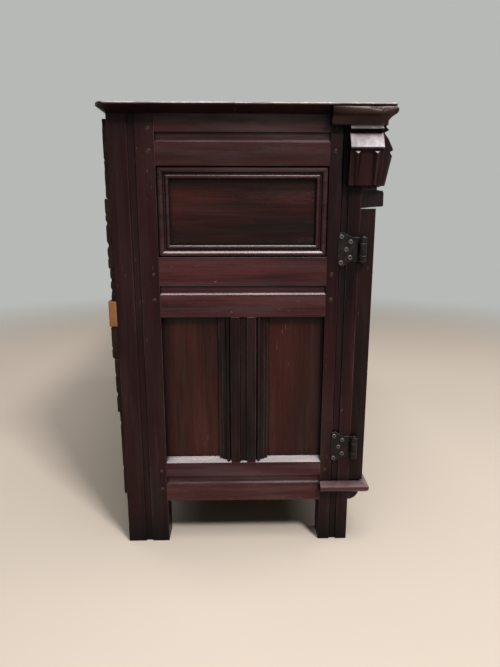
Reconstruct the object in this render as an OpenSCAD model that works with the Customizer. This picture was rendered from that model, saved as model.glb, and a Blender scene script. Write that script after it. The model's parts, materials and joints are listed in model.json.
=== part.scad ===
// Joined oak food cupboard: panelled ends, corbelled frieze, two overlay doors with turned
// spindles, one shelf, boarded back and floor. The front faces -Y and the floor is at Z = 0.
// Depths called s run from the back of the rear posts (0) towards the front.

/* [Overall] */
// Width over the outer faces of the two end frames
body_w = 1120; // [1000:1:1300]
// Depth from the back of the rear posts to the front of the front posts
body_d = 437; // [400:1:500]
// Height from the floor to the upper face of the top boards
overall_h = 822; // [790:1:880]

/* [Posts] */
// Depth of a rear post
rear_post_d = 80; // [72:1:90]
// Depth of a front post
front_post_d = 57; // [56:1:70]
// Thickness of a post across the width
post_t = 46; // [44:1:56]
// Height of the foot left below the bottom rails
foot_h = 88; // [60:1:110]

/* [End rails and panels] */
// Thickness of every frame rail
rail_t = 28; // [27:1:32]
// Height of the bottom rail of an end
bottom_rail_h = 90; // [80:1:100]
// Height of the middle rail of an end
mid_rail_h = 109; // [100:1:120]
// Height of the top rail of an end
top_rail_h = 84; // [80:1:100]
// Height of the upper panel's opening
upper_opening_h = 156; // [140:1:180]
// Width of the muntin between the two lower panels
muntin_w = 92; // [92:1:110]
// Width of the moulding along each side of that muntin
muntin_mould_w = 22.5; // [22.5:0.5:24]
// Thickness of a panel
panel_t = 8; // [6:0.5:8]
// Depth of a panel's face behind the face of its frame
panel_recess = 11; // [10:0.5:11]
// Depth of the grooves that hold the panels
groove_d = 8; // [6:0.5:9]
// Height of the sloping sill cut on the bottom rail
sill_h = 9; // [6:0.5:12]

/* [Scratch mouldings] */
// Width of the sunk channel along the rails
rail_channel_w = 16; // [12:0.5:20]
// Width of the sunk channel down the posts and the side muntins
post_channel_w = 14; // [10:0.5:16]
// Depth of every sunk channel
channel_d = 3; // [2:0.5:4]
// Width of the mitred moulding round a panel
frame_mould_w = 21; // [21:1:26]

/* [Joinery] */
// Thickness of the tenons
tenon_t = 8; // [6:0.5:9]
// Length of a rail's tenon
tenon_l = 28; // [20:1:30]
// Length of a muntin's tenon
stub_l = 18; // [12:1:20]
// Distance from a rail's edge to its tenon
tenon_edge = 13; // [12:1:16]
// Radius of the oak pegs
peg_r = 3.5; // [3:0.25:4]
// Length of an oak peg inside the wood
peg_l = 34; // [30:1:36]
// Distance of a peg from the tenon's shoulder
peg_inset = 10; // [8:1:14]
// Height of a peg that stands proud of the wood
peg_proud = 0.8; // [0.4:0.1:1.2]
// Clearance of tenons, panels and pegs in their seats
seat_gap = 0.1; // [0.05:0.05:0.2]

/* [Top] */
// Thickness of the top boards over the frame
top_t = 15; // [14:1:20]
// Thickness of the lip at the edge of the top
lip_t = 5; // [4:0.5:8]
// Overhang of the top at each end
end_overhang = 23; // [18:1:24]
// Overhang of the top behind the rear posts
back_overhang = 16; // [16:1:24]
// Width of the front top board
front_top_board_w = 270; // [220:1:300]
// Radius of the top's front corners in plan
top_front_corner_r = 8; // [2:1:20]
// Radius of the top's back corners in plan
top_back_corner_r = 25; // [2:1:30]

/* [Front] */
// Thickness of the doors, the frieze board and the centre strip
door_t = 27; // [23:1:28]
// Height of the frame's top rail at the front
front_rail_h = 175; // [172:1:190]
// Height of the frame's bottom rail at the front
front_sill_h = 70; // [60:1:80]
// Width of the frame's centre muntin at the front
front_muntin_w = 100; // [90:1:120]
// Width of the strip between the doors
centre_strip_w = 64; // [56:1:72]
// Gap beside each door at the centre strip
door_side_gap = 2; // [1:0.5:3]
// Gap above each door
door_top_gap = 3.5; // [2:0.5:5]
// Gap below each door
door_foot_gap = 2.5; // [2:0.5:4]

/* [Cornice, frieze and base] */
// Height of the cornice
cornice_h = 29; // [28:1:34]
// Projection of the cornice beyond the frieze and the ends
cornice_p = 24; // [22:1:28]
// Height of the plain frieze board
frieze_h = 105; // [102:1:120]
// Height of the waist moulding under the frieze
waist_h = 28; // [22:1:32]
// Depth of the waist moulding in front of the frame
waist_d = 39.5; // [36:0.5:43]
// Depth of the strip planted on the front of the waist moulding
waist_strip_d = 8.5; // [6:0.5:9]
// Height of the base moulding
base_h = 40; // [36:1:46]
// Projection of the base moulding's nose beyond its ground
base_p = 15; // [12:1:18]
// Height of the nose, which returns along the ends over the plain lower member
base_nose_h = 19; // [18:1:21]
// Depth of the ground behind the base moulding at the front
base_ground_d = 23; // [22:1:27]

/* [Corbels] */
// Width of a corbel
corbel_w = 56; // [54:1:66]
// Height of a corbel under its cap
corbel_h = 87; // [80:1:92]
// Thickness of the cap over a corbel
cap_t = 11; // [10:1:13]
// Projection of the cap
cap_p = 16; // [15:0.5:18]
// Height of the slope under the cap
corbel_slope_h = 26; // [22:1:28]
// Projection of the corbel at the foot of that slope
corbel_p = 24; // [22:0.5:26]
// Projection of the ground between the two ridges, at its upper end
corbel_ground_p = 20; // [17:0.5:21]
// Projection of the ground at its foot
corbel_foot_p = 11; // [8:0.5:13]
// Width of a ridge
ridge_w = 12; // [10:0.5:14]
// Height of a ridge over the ground at its upper end
ridge_h = 6.5; // [5.5:0.5:7]
// Height of a ridge over the ground at its foot
ridge_foot_h = 5; // [3:0.5:5.5]
// Distance between the two ridges
ridge_pitch = 32.5; // [30:0.5:36]
// Number of corbels along the front
front_corbels_n = 5; // [3:1:7]
// Depth from the back at which the end corbel starts
end_corbel_s = 411.5; // [390:0.5:420]

/* [Doors] */
// Width of a door stile
stile_w = 68; // [64:1:76]
// Height of a door's top rail
door_top_rail_h = 62; // [58:1:70]
// Height of a door's middle rail
door_mid_rail_h = 60; // [56:1:68]
// Height of a door's bottom rail
door_bottom_rail_h = 72; // [66:1:80]
// Width of a door's muntins
door_muntin_w = 48; // [44:1:56]
// Height of the spindle openings
spindle_opening_h = 130; // [120:1:145]
// Depth of a door panel's face behind the door's face
door_recess = 10; // [9.5:0.5:10.5]
// Number of spindles in one opening
spindles_n = 5; // [3:1:6]
// Largest radius of a spindle
spindle_r = 8.5; // [7:0.5:9]
// Radius of a spindle's round tenon
spindle_tenon_r = 4; // [3:0.5:5]
// Length of a spindle's round tenon
spindle_tenon_l = 10; // [8:1:14]
// Radius of a door knob
knob_r = 13; // [10:0.5:14]
// Projection of a door knob
knob_p = 24; // [22:1:25]

/* [Hinges] */
// Length of a hinge barrel
barrel_l = 43; // [38:1:48]
// Radius of a hinge barrel
barrel_r = 6.5; // [5.5:0.25:7]
// Distance of the hinge axis outside the end frame
axis_out = 7.5; // [7.5:0.25:8.5]
// Distance of the hinge axis in front of the posts
axis_front = 6; // [5:0.5:7]
// Thickness of a hinge leaf
leaf_t = 1.6; // [1.2:0.1:2]
// Length of a butterfly leaf from the axis to its end
leaf_l = 43; // [38:1:48]
// Height of a butterfly leaf at its wide end
leaf_h = 62; // [54:1:70]
// Distance from a door's end to the middle of its hinge
hinge_inset = 71; // [60:1:90]
// Radius of a hinge pin
pin_r = 2.5; // [2:0.25:3]
// Running clearance of a hinge pin and of the turn button's pivot
run_gap = 0.06; // [0.04:0.01:0.09]
// Gap between two knuckles
knuckle_gap = 0.4; // [0.3:0.1:0.6]

/* [Turn button] */
// Length of the turn button
button_l = 96; // [88:1:110]
// Width of the turn button
button_w = 22; // [18:1:26]
// Thickness of the turn button
button_t = 9; // [7:0.5:11]
// Radius of the turn button's pivot
pivot_r = 3; // [2.5:0.25:3.5]

/* [Nails] */
// Radius of a nail's head
nail_r = 3; // [2.5:0.25:3.5]
// Thickness of a nail's square shank
nail_shank = 1.6; // [1.2:0.1:2]
// Length of a nail under its head, and of the top's nails under the boards
nail_l = 20; // [16:1:24]
// Length of a nail that holds a door's hinge leaf
door_nail_l = 15; // [12:1:18]
// Distance of the back nails from the ends
nail_edge = 9; // [7:0.5:11]

/* [Inside and back] */
// Height of the shelf's underside above the lower edge of the ends' middle rails
shelf_rise = 8; // [2:1:40]
// Thickness of the shelf
shelf_t = 18; // [15:1:22]
// Gap between the shelf's front edge and the front frame
shelf_front_gap = 7; // [4:1:60]
// Thickness of the strips that carry the shelf
ledger_t = 18; // [14:1:18]
// Height of the strips that carry the shelf and the floor
ledger_h = 22; // [18:1:26]
// Thickness of the floor boards
floor_t = 16; // [12:1:20]
// Number of floor boards
floor_boards_n = 6; // [4:1:8]
// Open joint between two loose boards
board_gap = 0.6; // [0.4:0.1:1]
// Height of the rail across the top of the back
back_rail_h = 60; // [50:1:80]
// Height of the lowest back board's lower edge
back_foot_z = 105; // [95:1:120]
// Height of the new softwood batten on the back
batten_h = 47; // [40:1:56]
// Height of the batten's lower edge above the floor
batten_z = 441; // [420:1:450]
// Thickness of the batten
batten_t = 14; // [10:1:14]

/* [Hidden] */
$fn = 48;

oak = [0.23, 0.13, 0.11];
oak_rail = [0.29, 0.16, 0.14];
oak_panel = [0.21, 0.11, 0.09];
oak_rough = [0.27, 0.2, 0.15];
oak_inside = [0.42, 0.3, 0.2];
pine = [0.78, 0.51, 0.24];
iron = [0.13, 0.12, 0.12];

half_w = body_w / 2;
front_d = body_d + door_t + cornice_p;
back_y = (front_d - back_overhang) / 2;
frame_top = overall_h - top_t;
lip_z = overall_h - lip_t;
bottom_rail_z = foot_h;
lower_z = foot_h + bottom_rail_h;
top_rail_z = frame_top - top_rail_h;
upper_z = top_rail_z - upper_opening_h;
mid_rail_z = upper_z - mid_rail_h;
rail_l = body_d - rear_post_d - front_post_d;
front_post_s = body_d - front_post_d;
muntin_s = rear_post_d + (rail_l - muntin_w) / 2;
inner_w = body_w - 2 * post_t;
tongue = groove_d - seat_gap;
nail_head_h = nail_r / 2;
shelf_z = mid_rail_z + shelf_rise;
shelf_front_s = body_d - rail_t - shelf_front_gap;

cornice_z = lip_z - cornice_h;
frieze_z = cornice_z - frieze_h;
waist_z = frieze_z - waist_h;
front_rail_z = frame_top - front_rail_h;
front_sill_top = foot_h + front_sill_h;
base_top = foot_h + base_h;
face_s = body_d + door_t;
cornice_foot_p = cap_p - 5;

door_w = (body_w - centre_strip_w) / 2 - door_side_gap;
door_z = base_top + door_foot_gap;
door_h = waist_z - door_top_gap - door_z;
door_mid_z = door_z + door_h - door_top_rail_h - spindle_opening_h - door_mid_rail_h;
spindle_z = door_mid_z + door_mid_rail_h;
door_panel_z = door_z + door_bottom_rail_h;
door_inner_w = door_w - 2 * stile_w;
opening_w = (door_inner_w - door_muntin_w) / 2;
opening_xs = [stile_w, stile_w + opening_w + door_muntin_w];

hinge_zs = [door_z + hinge_inset, door_z + door_h - hinge_inset];
axis_x = -half_w - axis_out;
axis_s = body_d + axis_front;
knuckle_l = barrel_l / 4;
button_z = door_z + door_h / 2;

end_rails = [[bottom_rail_z, bottom_rail_h], [mid_rail_z, mid_rail_h],
    [top_rail_z, top_rail_h]];
front_rails = [[foot_h, front_sill_h], [front_rail_z, front_rail_h]];
back_rail_set = [[foot_h, front_sill_h], [frame_top - back_rail_h, back_rail_h]];
door_rails = [[door_z, door_bottom_rail_h], [door_mid_z, door_mid_rail_h],
    [door_z + door_h - door_top_rail_h, door_top_rail_h]];

// Heights of the two pegs that hold one tenon
function peg_heights(rail) = [rail[0] + rail[1] * 0.3, rail[0] + rail[1] * 0.72];

// A rectangular piece set out from its left side, its back depth s and its underside
module block(x, s, z, size) {
    translate([x, back_y - s - size[1], z]) cube(size);
}

// Carries a piece drawn at the left end over to the right end
module on_end(right) {
    if (right) mirror([1, 0, 0]) children();
    else children();
}

// Runs a section, drawn as projection against height, along the front from x0 to x1
module along_front(x0, x1, s) {
    translate([x0, back_y - s, 0]) mirror([0, 1, 0]) rotate([90, 0, 90])
        linear_extrude(x1 - x0) children();
}

// Runs a section, drawn as projection against height, along the left end
module along_end(s0, s1) {
    translate([-half_w, back_y - s0, 0]) mirror([1, 0, 0]) rotate([90, 0, 0])
        linear_extrude(s1 - s0) children();
}

// Section of a sunk channel: depth along X, a sloping edge first, width along Y
module channel_section(width) {
    polygon([[-1, -1], [0, 0], [channel_d, channel_d], [channel_d, width], [-1, width]]);
}

// Channel along an end rail
module rail_channel(z, length_s0, length_s1) {
    translate([-half_w, back_y - length_s0, z]) rotate([90, 0, 0])
        linear_extrude(length_s1 - length_s0) channel_section(rail_channel_w);
}

// Channel down a post, starting at depth s
module post_channel(s) {
    translate([-half_w, back_y - s, -1]) mirror([0, 1, 0])
        linear_extrude(overall_h) channel_section(post_channel_w);
}

// A peg or its hole, from the left end inwards
module end_peg(s, z, r, proud) {
    translate([-half_w - proud, back_y - s, z]) rotate([0, 90, 0])
        cylinder(r = r, h = peg_l + proud);
}

// A peg or its hole, along the depth; from the back when inwards is 1, from the front when -1
module depth_peg(x, s, z, r, proud, inwards) {
    translate([x, back_y - s + inwards * proud, z]) rotate([90 * inwards, 0, 0])
        cylinder(r = r, h = peg_l + proud);
}

// Holes for the pegs that hold the end rails, within a stretch of height
module end_peg_holes(rails) {
    for (rail = rails, z = peg_heights(rail)) {
        end_peg(rear_post_d - peg_inset, z, peg_r + seat_gap, 1);
        end_peg(front_post_s + peg_inset, z, peg_r + seat_gap, 1);
    }
}

// Holes for the pegs that hold the rails across the front or the back, at the left post
module cross_peg_holes(rails, s, inwards) {
    for (rail = rails, z = peg_heights(rail))
        depth_peg(-inner_w / 2 - peg_inset, s, z, peg_r + seat_gap, 1, inwards);
}

// Mortises for the tenons of rails across the width, in a left post
module cross_mortises(rails, s) {
    for (rail = rails)
        block(-inner_w / 2 - tenon_l - seat_gap, s + (rail_t - tenon_t) / 2 - seat_gap,
            rail[0] + tenon_edge - seat_gap,
            [tenon_l + seat_gap + 1, tenon_t + 2 * seat_gap,
                rail[1] - 2 * tenon_edge + 2 * seat_gap]);
}

// Mortises for the tenons of the end rails, between two depths
module end_mortises(s0, s1) {
    for (rail = end_rails)
        block(-half_w + (rail_t - tenon_t) / 2 - seat_gap, s0, rail[0] + tenon_edge - seat_gap,
            [tenon_t + 2 * seat_gap, s1 - s0, rail[1] - 2 * tenon_edge + 2 * seat_gap]);
}

// Grooves for the end panels in a post, between two depths
module post_grooves(s0, s1) {
    for (opening = [[lower_z, mid_rail_z], [upper_z, top_rail_z]])
        block(-half_w + panel_recess - seat_gap, s0, opening[0] - groove_d,
            [panel_t + 2 * seat_gap, s1 - s0, opening[1] - opening[0] + 2 * groove_d]);
}

module rear_post(right) {
    color(oak) on_end(right) difference() {
        block(-half_w, 0, 0, [post_t, rear_post_d, frame_top]);
        post_channel((rear_post_d - post_channel_w) / 2);
        end_mortises(rear_post_d - tenon_l - seat_gap, rear_post_d + 1);
        cross_mortises(back_rail_set, 0);
        post_grooves(rear_post_d - groove_d, rear_post_d + 1);
        end_peg_holes(end_rails);
        cross_peg_holes(back_rail_set, 0, 1);
        back_nail_places() nail_hole(nail_l);
        top_nail_places() nail_hole(nail_l + top_t);
    }
}

module front_post(right) {
    color(oak) on_end(right) difference() {
        block(-half_w, front_post_s, 0, [post_t, front_post_d, frame_top]);
        post_channel(front_post_s + (front_post_d - post_channel_w) / 2);
        end_mortises(front_post_s - 1, front_post_s + tenon_l + seat_gap);
        cross_mortises(front_rails, body_d - rail_t);
        post_grooves(front_post_s - 1, front_post_s + groove_d);
        end_peg_holes(end_rails);
        cross_peg_holes(front_rails, body_d, -1);
        top_nail_places() nail_hole(nail_l + top_t);
        post_leaf_places() leaf_nail_places() nail_hole(nail_l);
    }
}

// An end rail with its tenons and peg holes, before mouldings and grooves
module end_rail(rail) {
    difference() {
        union() {
            block(-half_w, rear_post_d, rail[0], [rail_t, rail_l, rail[1]]);
            block(-half_w + (rail_t - tenon_t) / 2, rear_post_d - tenon_l,
                rail[0] + tenon_edge, [tenon_t, rail_l + 2 * tenon_l, rail[1] - 2 * tenon_edge]);
        }
        end_peg_holes([rail]);
    }
}

// Groove for the end panels along a rail's edge, with its lower side at z
module rail_groove(z) {
    block(-half_w + panel_recess - seat_gap, rear_post_d - 1, z,
        [panel_t + 2 * seat_gap, rail_l + 2, groove_d]);
}

// Mortise for the stub tenon of the end muntin, with its lower side at z
module muntin_mortise(z) {
    block(-half_w + (rail_t - tenon_t) / 2 - seat_gap, muntin_s + tenon_edge - seat_gap, z,
        [tenon_t + 2 * seat_gap, muntin_w - 2 * tenon_edge + 2 * seat_gap, stub_l + seat_gap]);
}

module end_top_rail(right) {
    color(oak_rail) on_end(right) difference() {
        end_rail(end_rails[2]);
        rail_channel(top_rail_z + top_rail_h * 0.46, rear_post_d, front_post_s);
        rail_groove(top_rail_z);
        top_nail_places() nail_hole(nail_l + top_t);
    }
}

module end_mid_rail(right) {
    color(oak_rail) on_end(right) difference() {
        end_rail(end_rails[1]);
        rail_channel(mid_rail_z + mid_rail_h * 0.38, rear_post_d, front_post_s);
        rail_groove(mid_rail_z);
        rail_groove(mid_rail_z + mid_rail_h - groove_d);
        muntin_mortise(mid_rail_z - seat_gap);
        muntin_peg(peg_r + seat_gap, 1);
    }
}

module end_bottom_rail(right) {
    color(oak_rail) on_end(right) difference() {
        end_rail(end_rails[0]);
        rail_channel(bottom_rail_z + bottom_rail_h * 0.41, rear_post_d, front_post_s);
        rail_groove(lower_z - groove_d);
        muntin_mortise(lower_z - stub_l);
        along_end(rear_post_d, front_post_s) translate([0, lower_z])
            polygon([[0, -sill_h], [-panel_recess, 0], [-panel_recess, 1], [1, 1], [1, -sill_h]]);
    }
}

// Space under the sloping sill, to which the muntin's foot is scribed
module under_sill() {
    along_end(rear_post_d, front_post_s) translate([0, lower_z])
        polygon([[1, -2 * sill_h], [1, -sill_h], [0, -sill_h], [-panel_recess, 0],
            [-rail_t - 1, 0], [-rail_t - 1, -2 * sill_h]]);
}

// Peg through the middle rail into the muntin's upper tenon
module muntin_peg(r, proud) {
    translate([-half_w - proud, back_y - body_d / 2 + peg_inset, mid_rail_z + stub_l / 2])
        rotate([0, 90, 0]) cylinder(r = r, h = rail_t + proud);
}

// Half of the muntin's section: distance from its middle against depth behind the face
module muntin_half() {
    face = muntin_w / 2 - muntin_mould_w;
    bead_r = 4;
    difference() {
        square([muntin_w / 2, rail_t]);
        translate([face, -1]) square([1.5, 1 + bead_r]);
        translate([face + 1.5, -1]) square([2 * bead_r, bead_r + 2.5]);
        translate([face + 1.5 + 2 * bead_r, -1]) square([7, 6.5]);
        translate([muntin_w / 2 - 6, -1]) square([7, 8]);
    }
    translate([face + 1.5 + bead_r, bead_r + 1.5]) circle(r = bead_r);
}

module end_muntin(right) {
    foot_z = lower_z - sill_h;
    length = mid_rail_z - foot_z;
    color(oak) on_end(right) difference() {
        union() {
            difference() {
                translate([-half_w, back_y - muntin_s - muntin_w / 2, foot_z])
                    linear_extrude(length) rotate(90) {
                        mirror([0, 1, 0]) muntin_half();
                        rotate(180) muntin_half();
                    }
                under_sill();
            }
            block(-half_w + (rail_t - tenon_t) / 2, muntin_s + tenon_edge, lower_z - stub_l,
                [tenon_t, muntin_w - 2 * tenon_edge, mid_rail_z - lower_z + 2 * stub_l]);
        }
        translate([-half_w, back_y - muntin_s - (muntin_w - post_channel_w) / 2, foot_z - 1])
            mirror([0, 1, 0]) linear_extrude(length + 2) channel_section(post_channel_w);
        for (s = [muntin_s - 1, muntin_s + muntin_w - groove_d])
            block(-half_w + panel_recess - seat_gap, s, foot_z - 1,
                [panel_t + 2 * seat_gap, groove_d + 1, length + 2]);
        muntin_peg(peg_r + seat_gap, 1);
    }
}

module end_upper_panel(right) {
    color(oak_panel) on_end(right)
        block(-half_w + panel_recess, rear_post_d - tongue, upper_z - tongue,
            [panel_t, rail_l + 2 * tongue, upper_opening_h + 2 * tongue]);
}

module end_lower_panels(right) {
    color(oak_panel) on_end(right) for (s = [rear_post_d, muntin_s + muntin_w])
        block(-half_w + panel_recess, s - tongue, lower_z - tongue,
            [panel_t, (rail_l - muntin_w) / 2 + 2 * tongue, mid_rail_z - lower_z + 2 * tongue]);
}

// Section of the moulding planted round a panel: distance from the frame against height
module planted_section() {
    bead_r = 3.5;
    polygon([[0.2, 0], [0.2, 6], [2, 8], [7, 9], [10, 7], [11.5, 4], [14, 3.5],
        [frame_mould_w, 3.5], [frame_mould_w, 0]]);
    translate([frame_mould_w - bead_r, bead_r]) circle(r = bead_r);
}

// One mitred length of the planted moulding, lying along X
module planted_length(length) {
    mitre_gap = 0.15;
    intersection() {
        rotate([90, 0, 90]) linear_extrude(length) planted_section();
        linear_extrude(2 * panel_recess)
            polygon([[mitre_gap, 0], [length - mitre_gap, 0],
                [length - frame_mould_w - mitre_gap, frame_mould_w],
                [frame_mould_w + mitre_gap, frame_mould_w]]);
    }
}

// Four mitred lengths round an opening
module planted_frame(w, h) {
    planted_length(w);
    translate([w, h, 0]) rotate(180) planted_length(w);
    translate([0, h, 0]) rotate(-90) planted_length(h);
    translate([w, 0, 0]) rotate(90) planted_length(h);
}

module end_moulding(right) {
    color(oak_rail) on_end(right)
        translate([-half_w + panel_recess, back_y - rear_post_d, upper_z])
            rotate([90, 0, -90]) planted_frame(rail_l, upper_opening_h);
}

// A rail across the width between two posts, with its tenons and peg holes
module cross_rail(rail, s, peg_s, inwards) {
    difference() {
        union() {
            block(-inner_w / 2, s, rail[0], [inner_w, rail_t, rail[1]]);
            block(-inner_w / 2 - tenon_l, s + (rail_t - tenon_t) / 2, rail[0] + tenon_edge,
                [inner_w + 2 * tenon_l, tenon_t, rail[1] - 2 * tenon_edge]);
        }
        for (right = [false, true]) on_end(right) cross_peg_holes([rail], peg_s, inwards);
    }
}

// Mortise for the stub tenon of the front muntin, with its lower side at z
module front_muntin_mortise(z) {
    block(-front_muntin_w / 2 + tenon_edge - seat_gap,
        body_d - (rail_t + tenon_t) / 2 - seat_gap, z,
        [front_muntin_w - 2 * tenon_edge + 2 * seat_gap, tenon_t + 2 * seat_gap,
            stub_l + seat_gap]);
}

module front_top_rail() {
    color(oak_rail) difference() {
        cross_rail(front_rails[1], body_d - rail_t, body_d, -1);
        front_muntin_mortise(front_rail_z - seat_gap);
    }
}

module front_bottom_rail() {
    color(oak_rail) difference() {
        cross_rail(front_rails[0], body_d - rail_t, body_d, -1);
        front_muntin_mortise(front_sill_top - stub_l);
    }
}

module front_muntin() {
    color(oak_rail) {
        block(-front_muntin_w / 2, body_d - rail_t, front_sill_top,
            [front_muntin_w, rail_t, front_rail_z - front_sill_top]);
        block(-front_muntin_w / 2 + tenon_edge, body_d - (rail_t + tenon_t) / 2,
            front_sill_top - stub_l, [front_muntin_w - 2 * tenon_edge, tenon_t,
                front_rail_z - front_sill_top + 2 * stub_l]);
    }
}

module back_rails() {
    color(oak_inside) for (rail = back_rail_set) cross_rail(rail, 0, 0, 1);
}

module frieze_board() {
    color(oak_rail) block(-half_w, body_d, frieze_z, [body_w, door_t, frieze_h]);
}

// The waist is a board with a thinner strip planted on its front
module waist_moulding() {
    board_d = waist_d - waist_strip_d;
    color(oak) along_front(-half_w, half_w, body_d) translate([0, waist_z]) {
        square([board_d, waist_h]);
        polygon([[board_d + seat_gap, 0], [waist_d - 1, 0], [waist_d, 2],
            [waist_d - 0.5, waist_h - 5], [waist_d - 2.5, waist_h - 1],
            [board_d + seat_gap, waist_h - 1]]);
    }
}

module centre_strip() {
    strip_z = base_top;
    color(oak_rail) difference() {
        block(-centre_strip_w / 2, body_d, strip_z,
            [centre_strip_w, door_t, waist_z - strip_z]);
        for (side = [-1, 1])
            translate([side * centre_strip_w / 4 - post_channel_w / 4, back_y - face_s - 1,
                strip_z - 1])
                cube([post_channel_w / 2, channel_d, waist_z - strip_z + 2]);
        translate([0, back_y - face_s - 1, button_z]) rotate([-90, 0, 0])
            cylinder(r = pivot_r + seat_gap, h = door_t / 2 + 1);
    }
}

// Section of the cornice, projection beyond its ground against height: a fillet at the foot,
// a shallow hollow and a round nose under the top's lip
module cornice_section(ground) {
    nose_r = 7.5;
    fillet_h = 6.5;
    sag = 1;
    nose = [cornice_p - nose_r, lip_z - nose_r];
    low = [cornice_foot_p, cornice_z + fillet_h];
    high = nose + nose_r * [cos(45), -sin(45)];
    polygon([[-ground, cornice_z], [cornice_foot_p, cornice_z], low,
        for (i = [1 : 5]) low + (high - low) * i / 6 + sag * sin(i * 30) * [-cos(45), sin(45)],
        high, nose + [0, nose_r], [-ground, lip_z]]);
    translate(nose) circle(r = nose_r);
}

// Plan of a mitred run across the front, ending at 45 degrees at both corners
module front_mitre(reach, ground_s) {
    linear_extrude(overall_h)
        polygon([[-half_w, back_y - body_d], [-half_w, back_y - ground_s],
            [-half_w - reach, back_y - ground_s - reach],
            [half_w + reach, back_y - ground_s - reach], [half_w, back_y - ground_s],
            [half_w, back_y - body_d]]);
}

// Plan of a mitred return along the left end
module return_mitre(reach, ground_s) {
    linear_extrude(overall_h)
        polygon([[-half_w, back_y], [-half_w, back_y - ground_s],
            [-half_w - reach, back_y - ground_s - reach], [-half_w - reach, back_y]]);
}

module cornice_front() {
    color(oak_rough) intersection() {
        along_front(-half_w - cornice_p, half_w + cornice_p, face_s) cornice_section(door_t);
        front_mitre(cornice_p, face_s);
    }
}

module cornice_return(right) {
    color(oak_rough) on_end(right) intersection() {
        along_end(front_post_s, face_s + cornice_p) cornice_section(0);
        return_mitre(cornice_p, face_s);
    }
}

// Section of the base moulding's nose: a sloping top and a blunt front, cut under
module base_nose(ground) {
    nose_z = base_top - base_nose_h;
    slope_h = 6;
    polygon([[-ground, nose_z], [base_p - 6, nose_z], [base_p - 1.5, nose_z + 4],
        [base_p, nose_z + 7.5], [base_p, base_top - slope_h], [0, base_top],
        [-ground, base_top]]);
}

module base_front() {
    ground_s = body_d + base_ground_d;
    round_r = base_h - base_nose_h;
    color(oak_rail) {
        intersection() {
            along_front(-half_w - base_p, half_w + base_p, ground_s) base_nose(base_ground_d);
            front_mitre(base_p, ground_s);
        }
        along_front(-half_w, half_w, body_d) intersection() {
            translate([0, foot_h + round_r]) circle(r = round_r);
            translate([0, foot_h]) square(round_r);
        }
    }
}

module base_return(right) {
    ground_s = body_d + base_ground_d;
    color(oak_rail) on_end(right) intersection() {
        along_end(front_post_s, ground_s + base_p) base_nose(0);
        return_mitre(base_p, ground_s);
    }
}

// A corbel against the plane Y = 0, centred on X, with the top of its cap at Z = 0
module corbel() {
    neck_p = cap_p / 2;
    shoulder_z = -cap_t - corbel_slope_h;
    facet_z = shoulder_z - 4;
    foot_z = -cap_t - corbel_h;
    ridge_foot_p = corbel_foot_p + ridge_foot_h;
    lean = atan((corbel_ground_p + ridge_h - ridge_foot_p) / (facet_z - ridge_h - foot_z));
    corbel_slice()
        polygon([[0, foot_z], [corbel_foot_p, foot_z], [corbel_ground_p, facet_z],
            [corbel_p, facet_z + 1], [corbel_p, shoulder_z],
            [neck_p + (corbel_p - neck_p) * 0.5, -cap_t - corbel_slope_h * 0.4], [neck_p, -cap_t],
            [cap_p, -cap_t * 0.6], [cornice_foot_p, -cap_t * 0.2], [cornice_foot_p, 0], [0, 0]]);
    intersection() {
        for (side = [-1, 1]) translate([side * ridge_pitch / 2, -ridge_foot_p, foot_z])
            rotate([lean, 0, 0]) linear_extrude(corbel_h)
                polygon([[0, 0], [ridge_w * 0.75, ridge_h * 1.5], [-ridge_w * 0.75, ridge_h * 1.5]]);
        corbel_slice()
            polygon([[0, foot_z], [corbel_p + 2 * ridge_h, foot_z],
                [corbel_ground_p + 2 * ridge_h, facet_z - 2 * ridge_h],
                [corbel_ground_p, facet_z], [0, facet_z]]);
    }
}

// Runs a section, drawn as projection against height, across a corbel's width
module corbel_slice() {
    translate([-corbel_w / 2, 0, 0]) mirror([0, 1, 0]) rotate([90, 0, 90])
        linear_extrude(corbel_w) children();
}

module front_corbels() {
    pitch = (body_w - corbel_w) / (front_corbels_n - 1);
    color(oak) for (i = [0 : front_corbels_n - 1])
        translate([-half_w + corbel_w / 2 + i * pitch, back_y - face_s, cornice_z]) corbel();
}

module end_corbel(right) {
    color(oak) on_end(right)
        translate([-half_w, back_y - end_corbel_s - corbel_w / 2, cornice_z])
            rotate(-90) corbel();
}

// What is cut off a square corner to round it, with the arc's centre at the origin
module corner_waste(r) {
    difference() {
        square(r + 1);
        circle(r = r);
    }
}

// Plan of the top, its corners rounded
module top_plan() {
    half = half_w + end_overhang;
    back = back_y + back_overhang;
    front = back_y - face_s - end_overhang;
    difference() {
        translate([-half, front]) square([2 * half, back - front]);
        for (side = [0, 1]) mirror([side, 0, 0]) {
            translate([half - top_back_corner_r, back - top_back_corner_r])
                corner_waste(top_back_corner_r);
            translate([half - top_front_corner_r, front + top_front_corner_r])
                mirror([0, 1, 0]) corner_waste(top_front_corner_r);
        }
    }
}

// Part of the top between two depths: a lip over a core whose ends and back are cut under
module top_slab(s0, s1) {
    lip_w = body_w + 2 * end_overhang;
    intersection() {
        union() {
            block(-lip_w / 2, -back_overhang, lip_z,
                [lip_w, back_overhang + face_s + end_overhang, lip_t]);
            block(-half_w, 0, frame_top, [body_w, body_d, top_t]);
            intersection() {
                translate([0, back_y - front_post_s, 0]) rotate([90, 0, 0])
                    mirror([0, 0, 1]) linear_extrude(front_post_s + back_overhang)
                        polygon([[-half_w, frame_top], [-lip_w / 2, lip_z],
                            [lip_w / 2, lip_z], [half_w, frame_top]]);
                translate([-lip_w / 2, back_y, 0]) rotate([90, 0, 90]) linear_extrude(lip_w)
                    polygon([[0, frame_top], [back_overhang, lip_z], [-body_d, lip_z],
                        [-body_d, frame_top]]);
            }
        }
        block(-body_w, s0, frame_top - 1, [2 * body_w, s1 - s0, top_t + 2]);
        linear_extrude(overall_h + 1) top_plan();
    }
}

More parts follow.
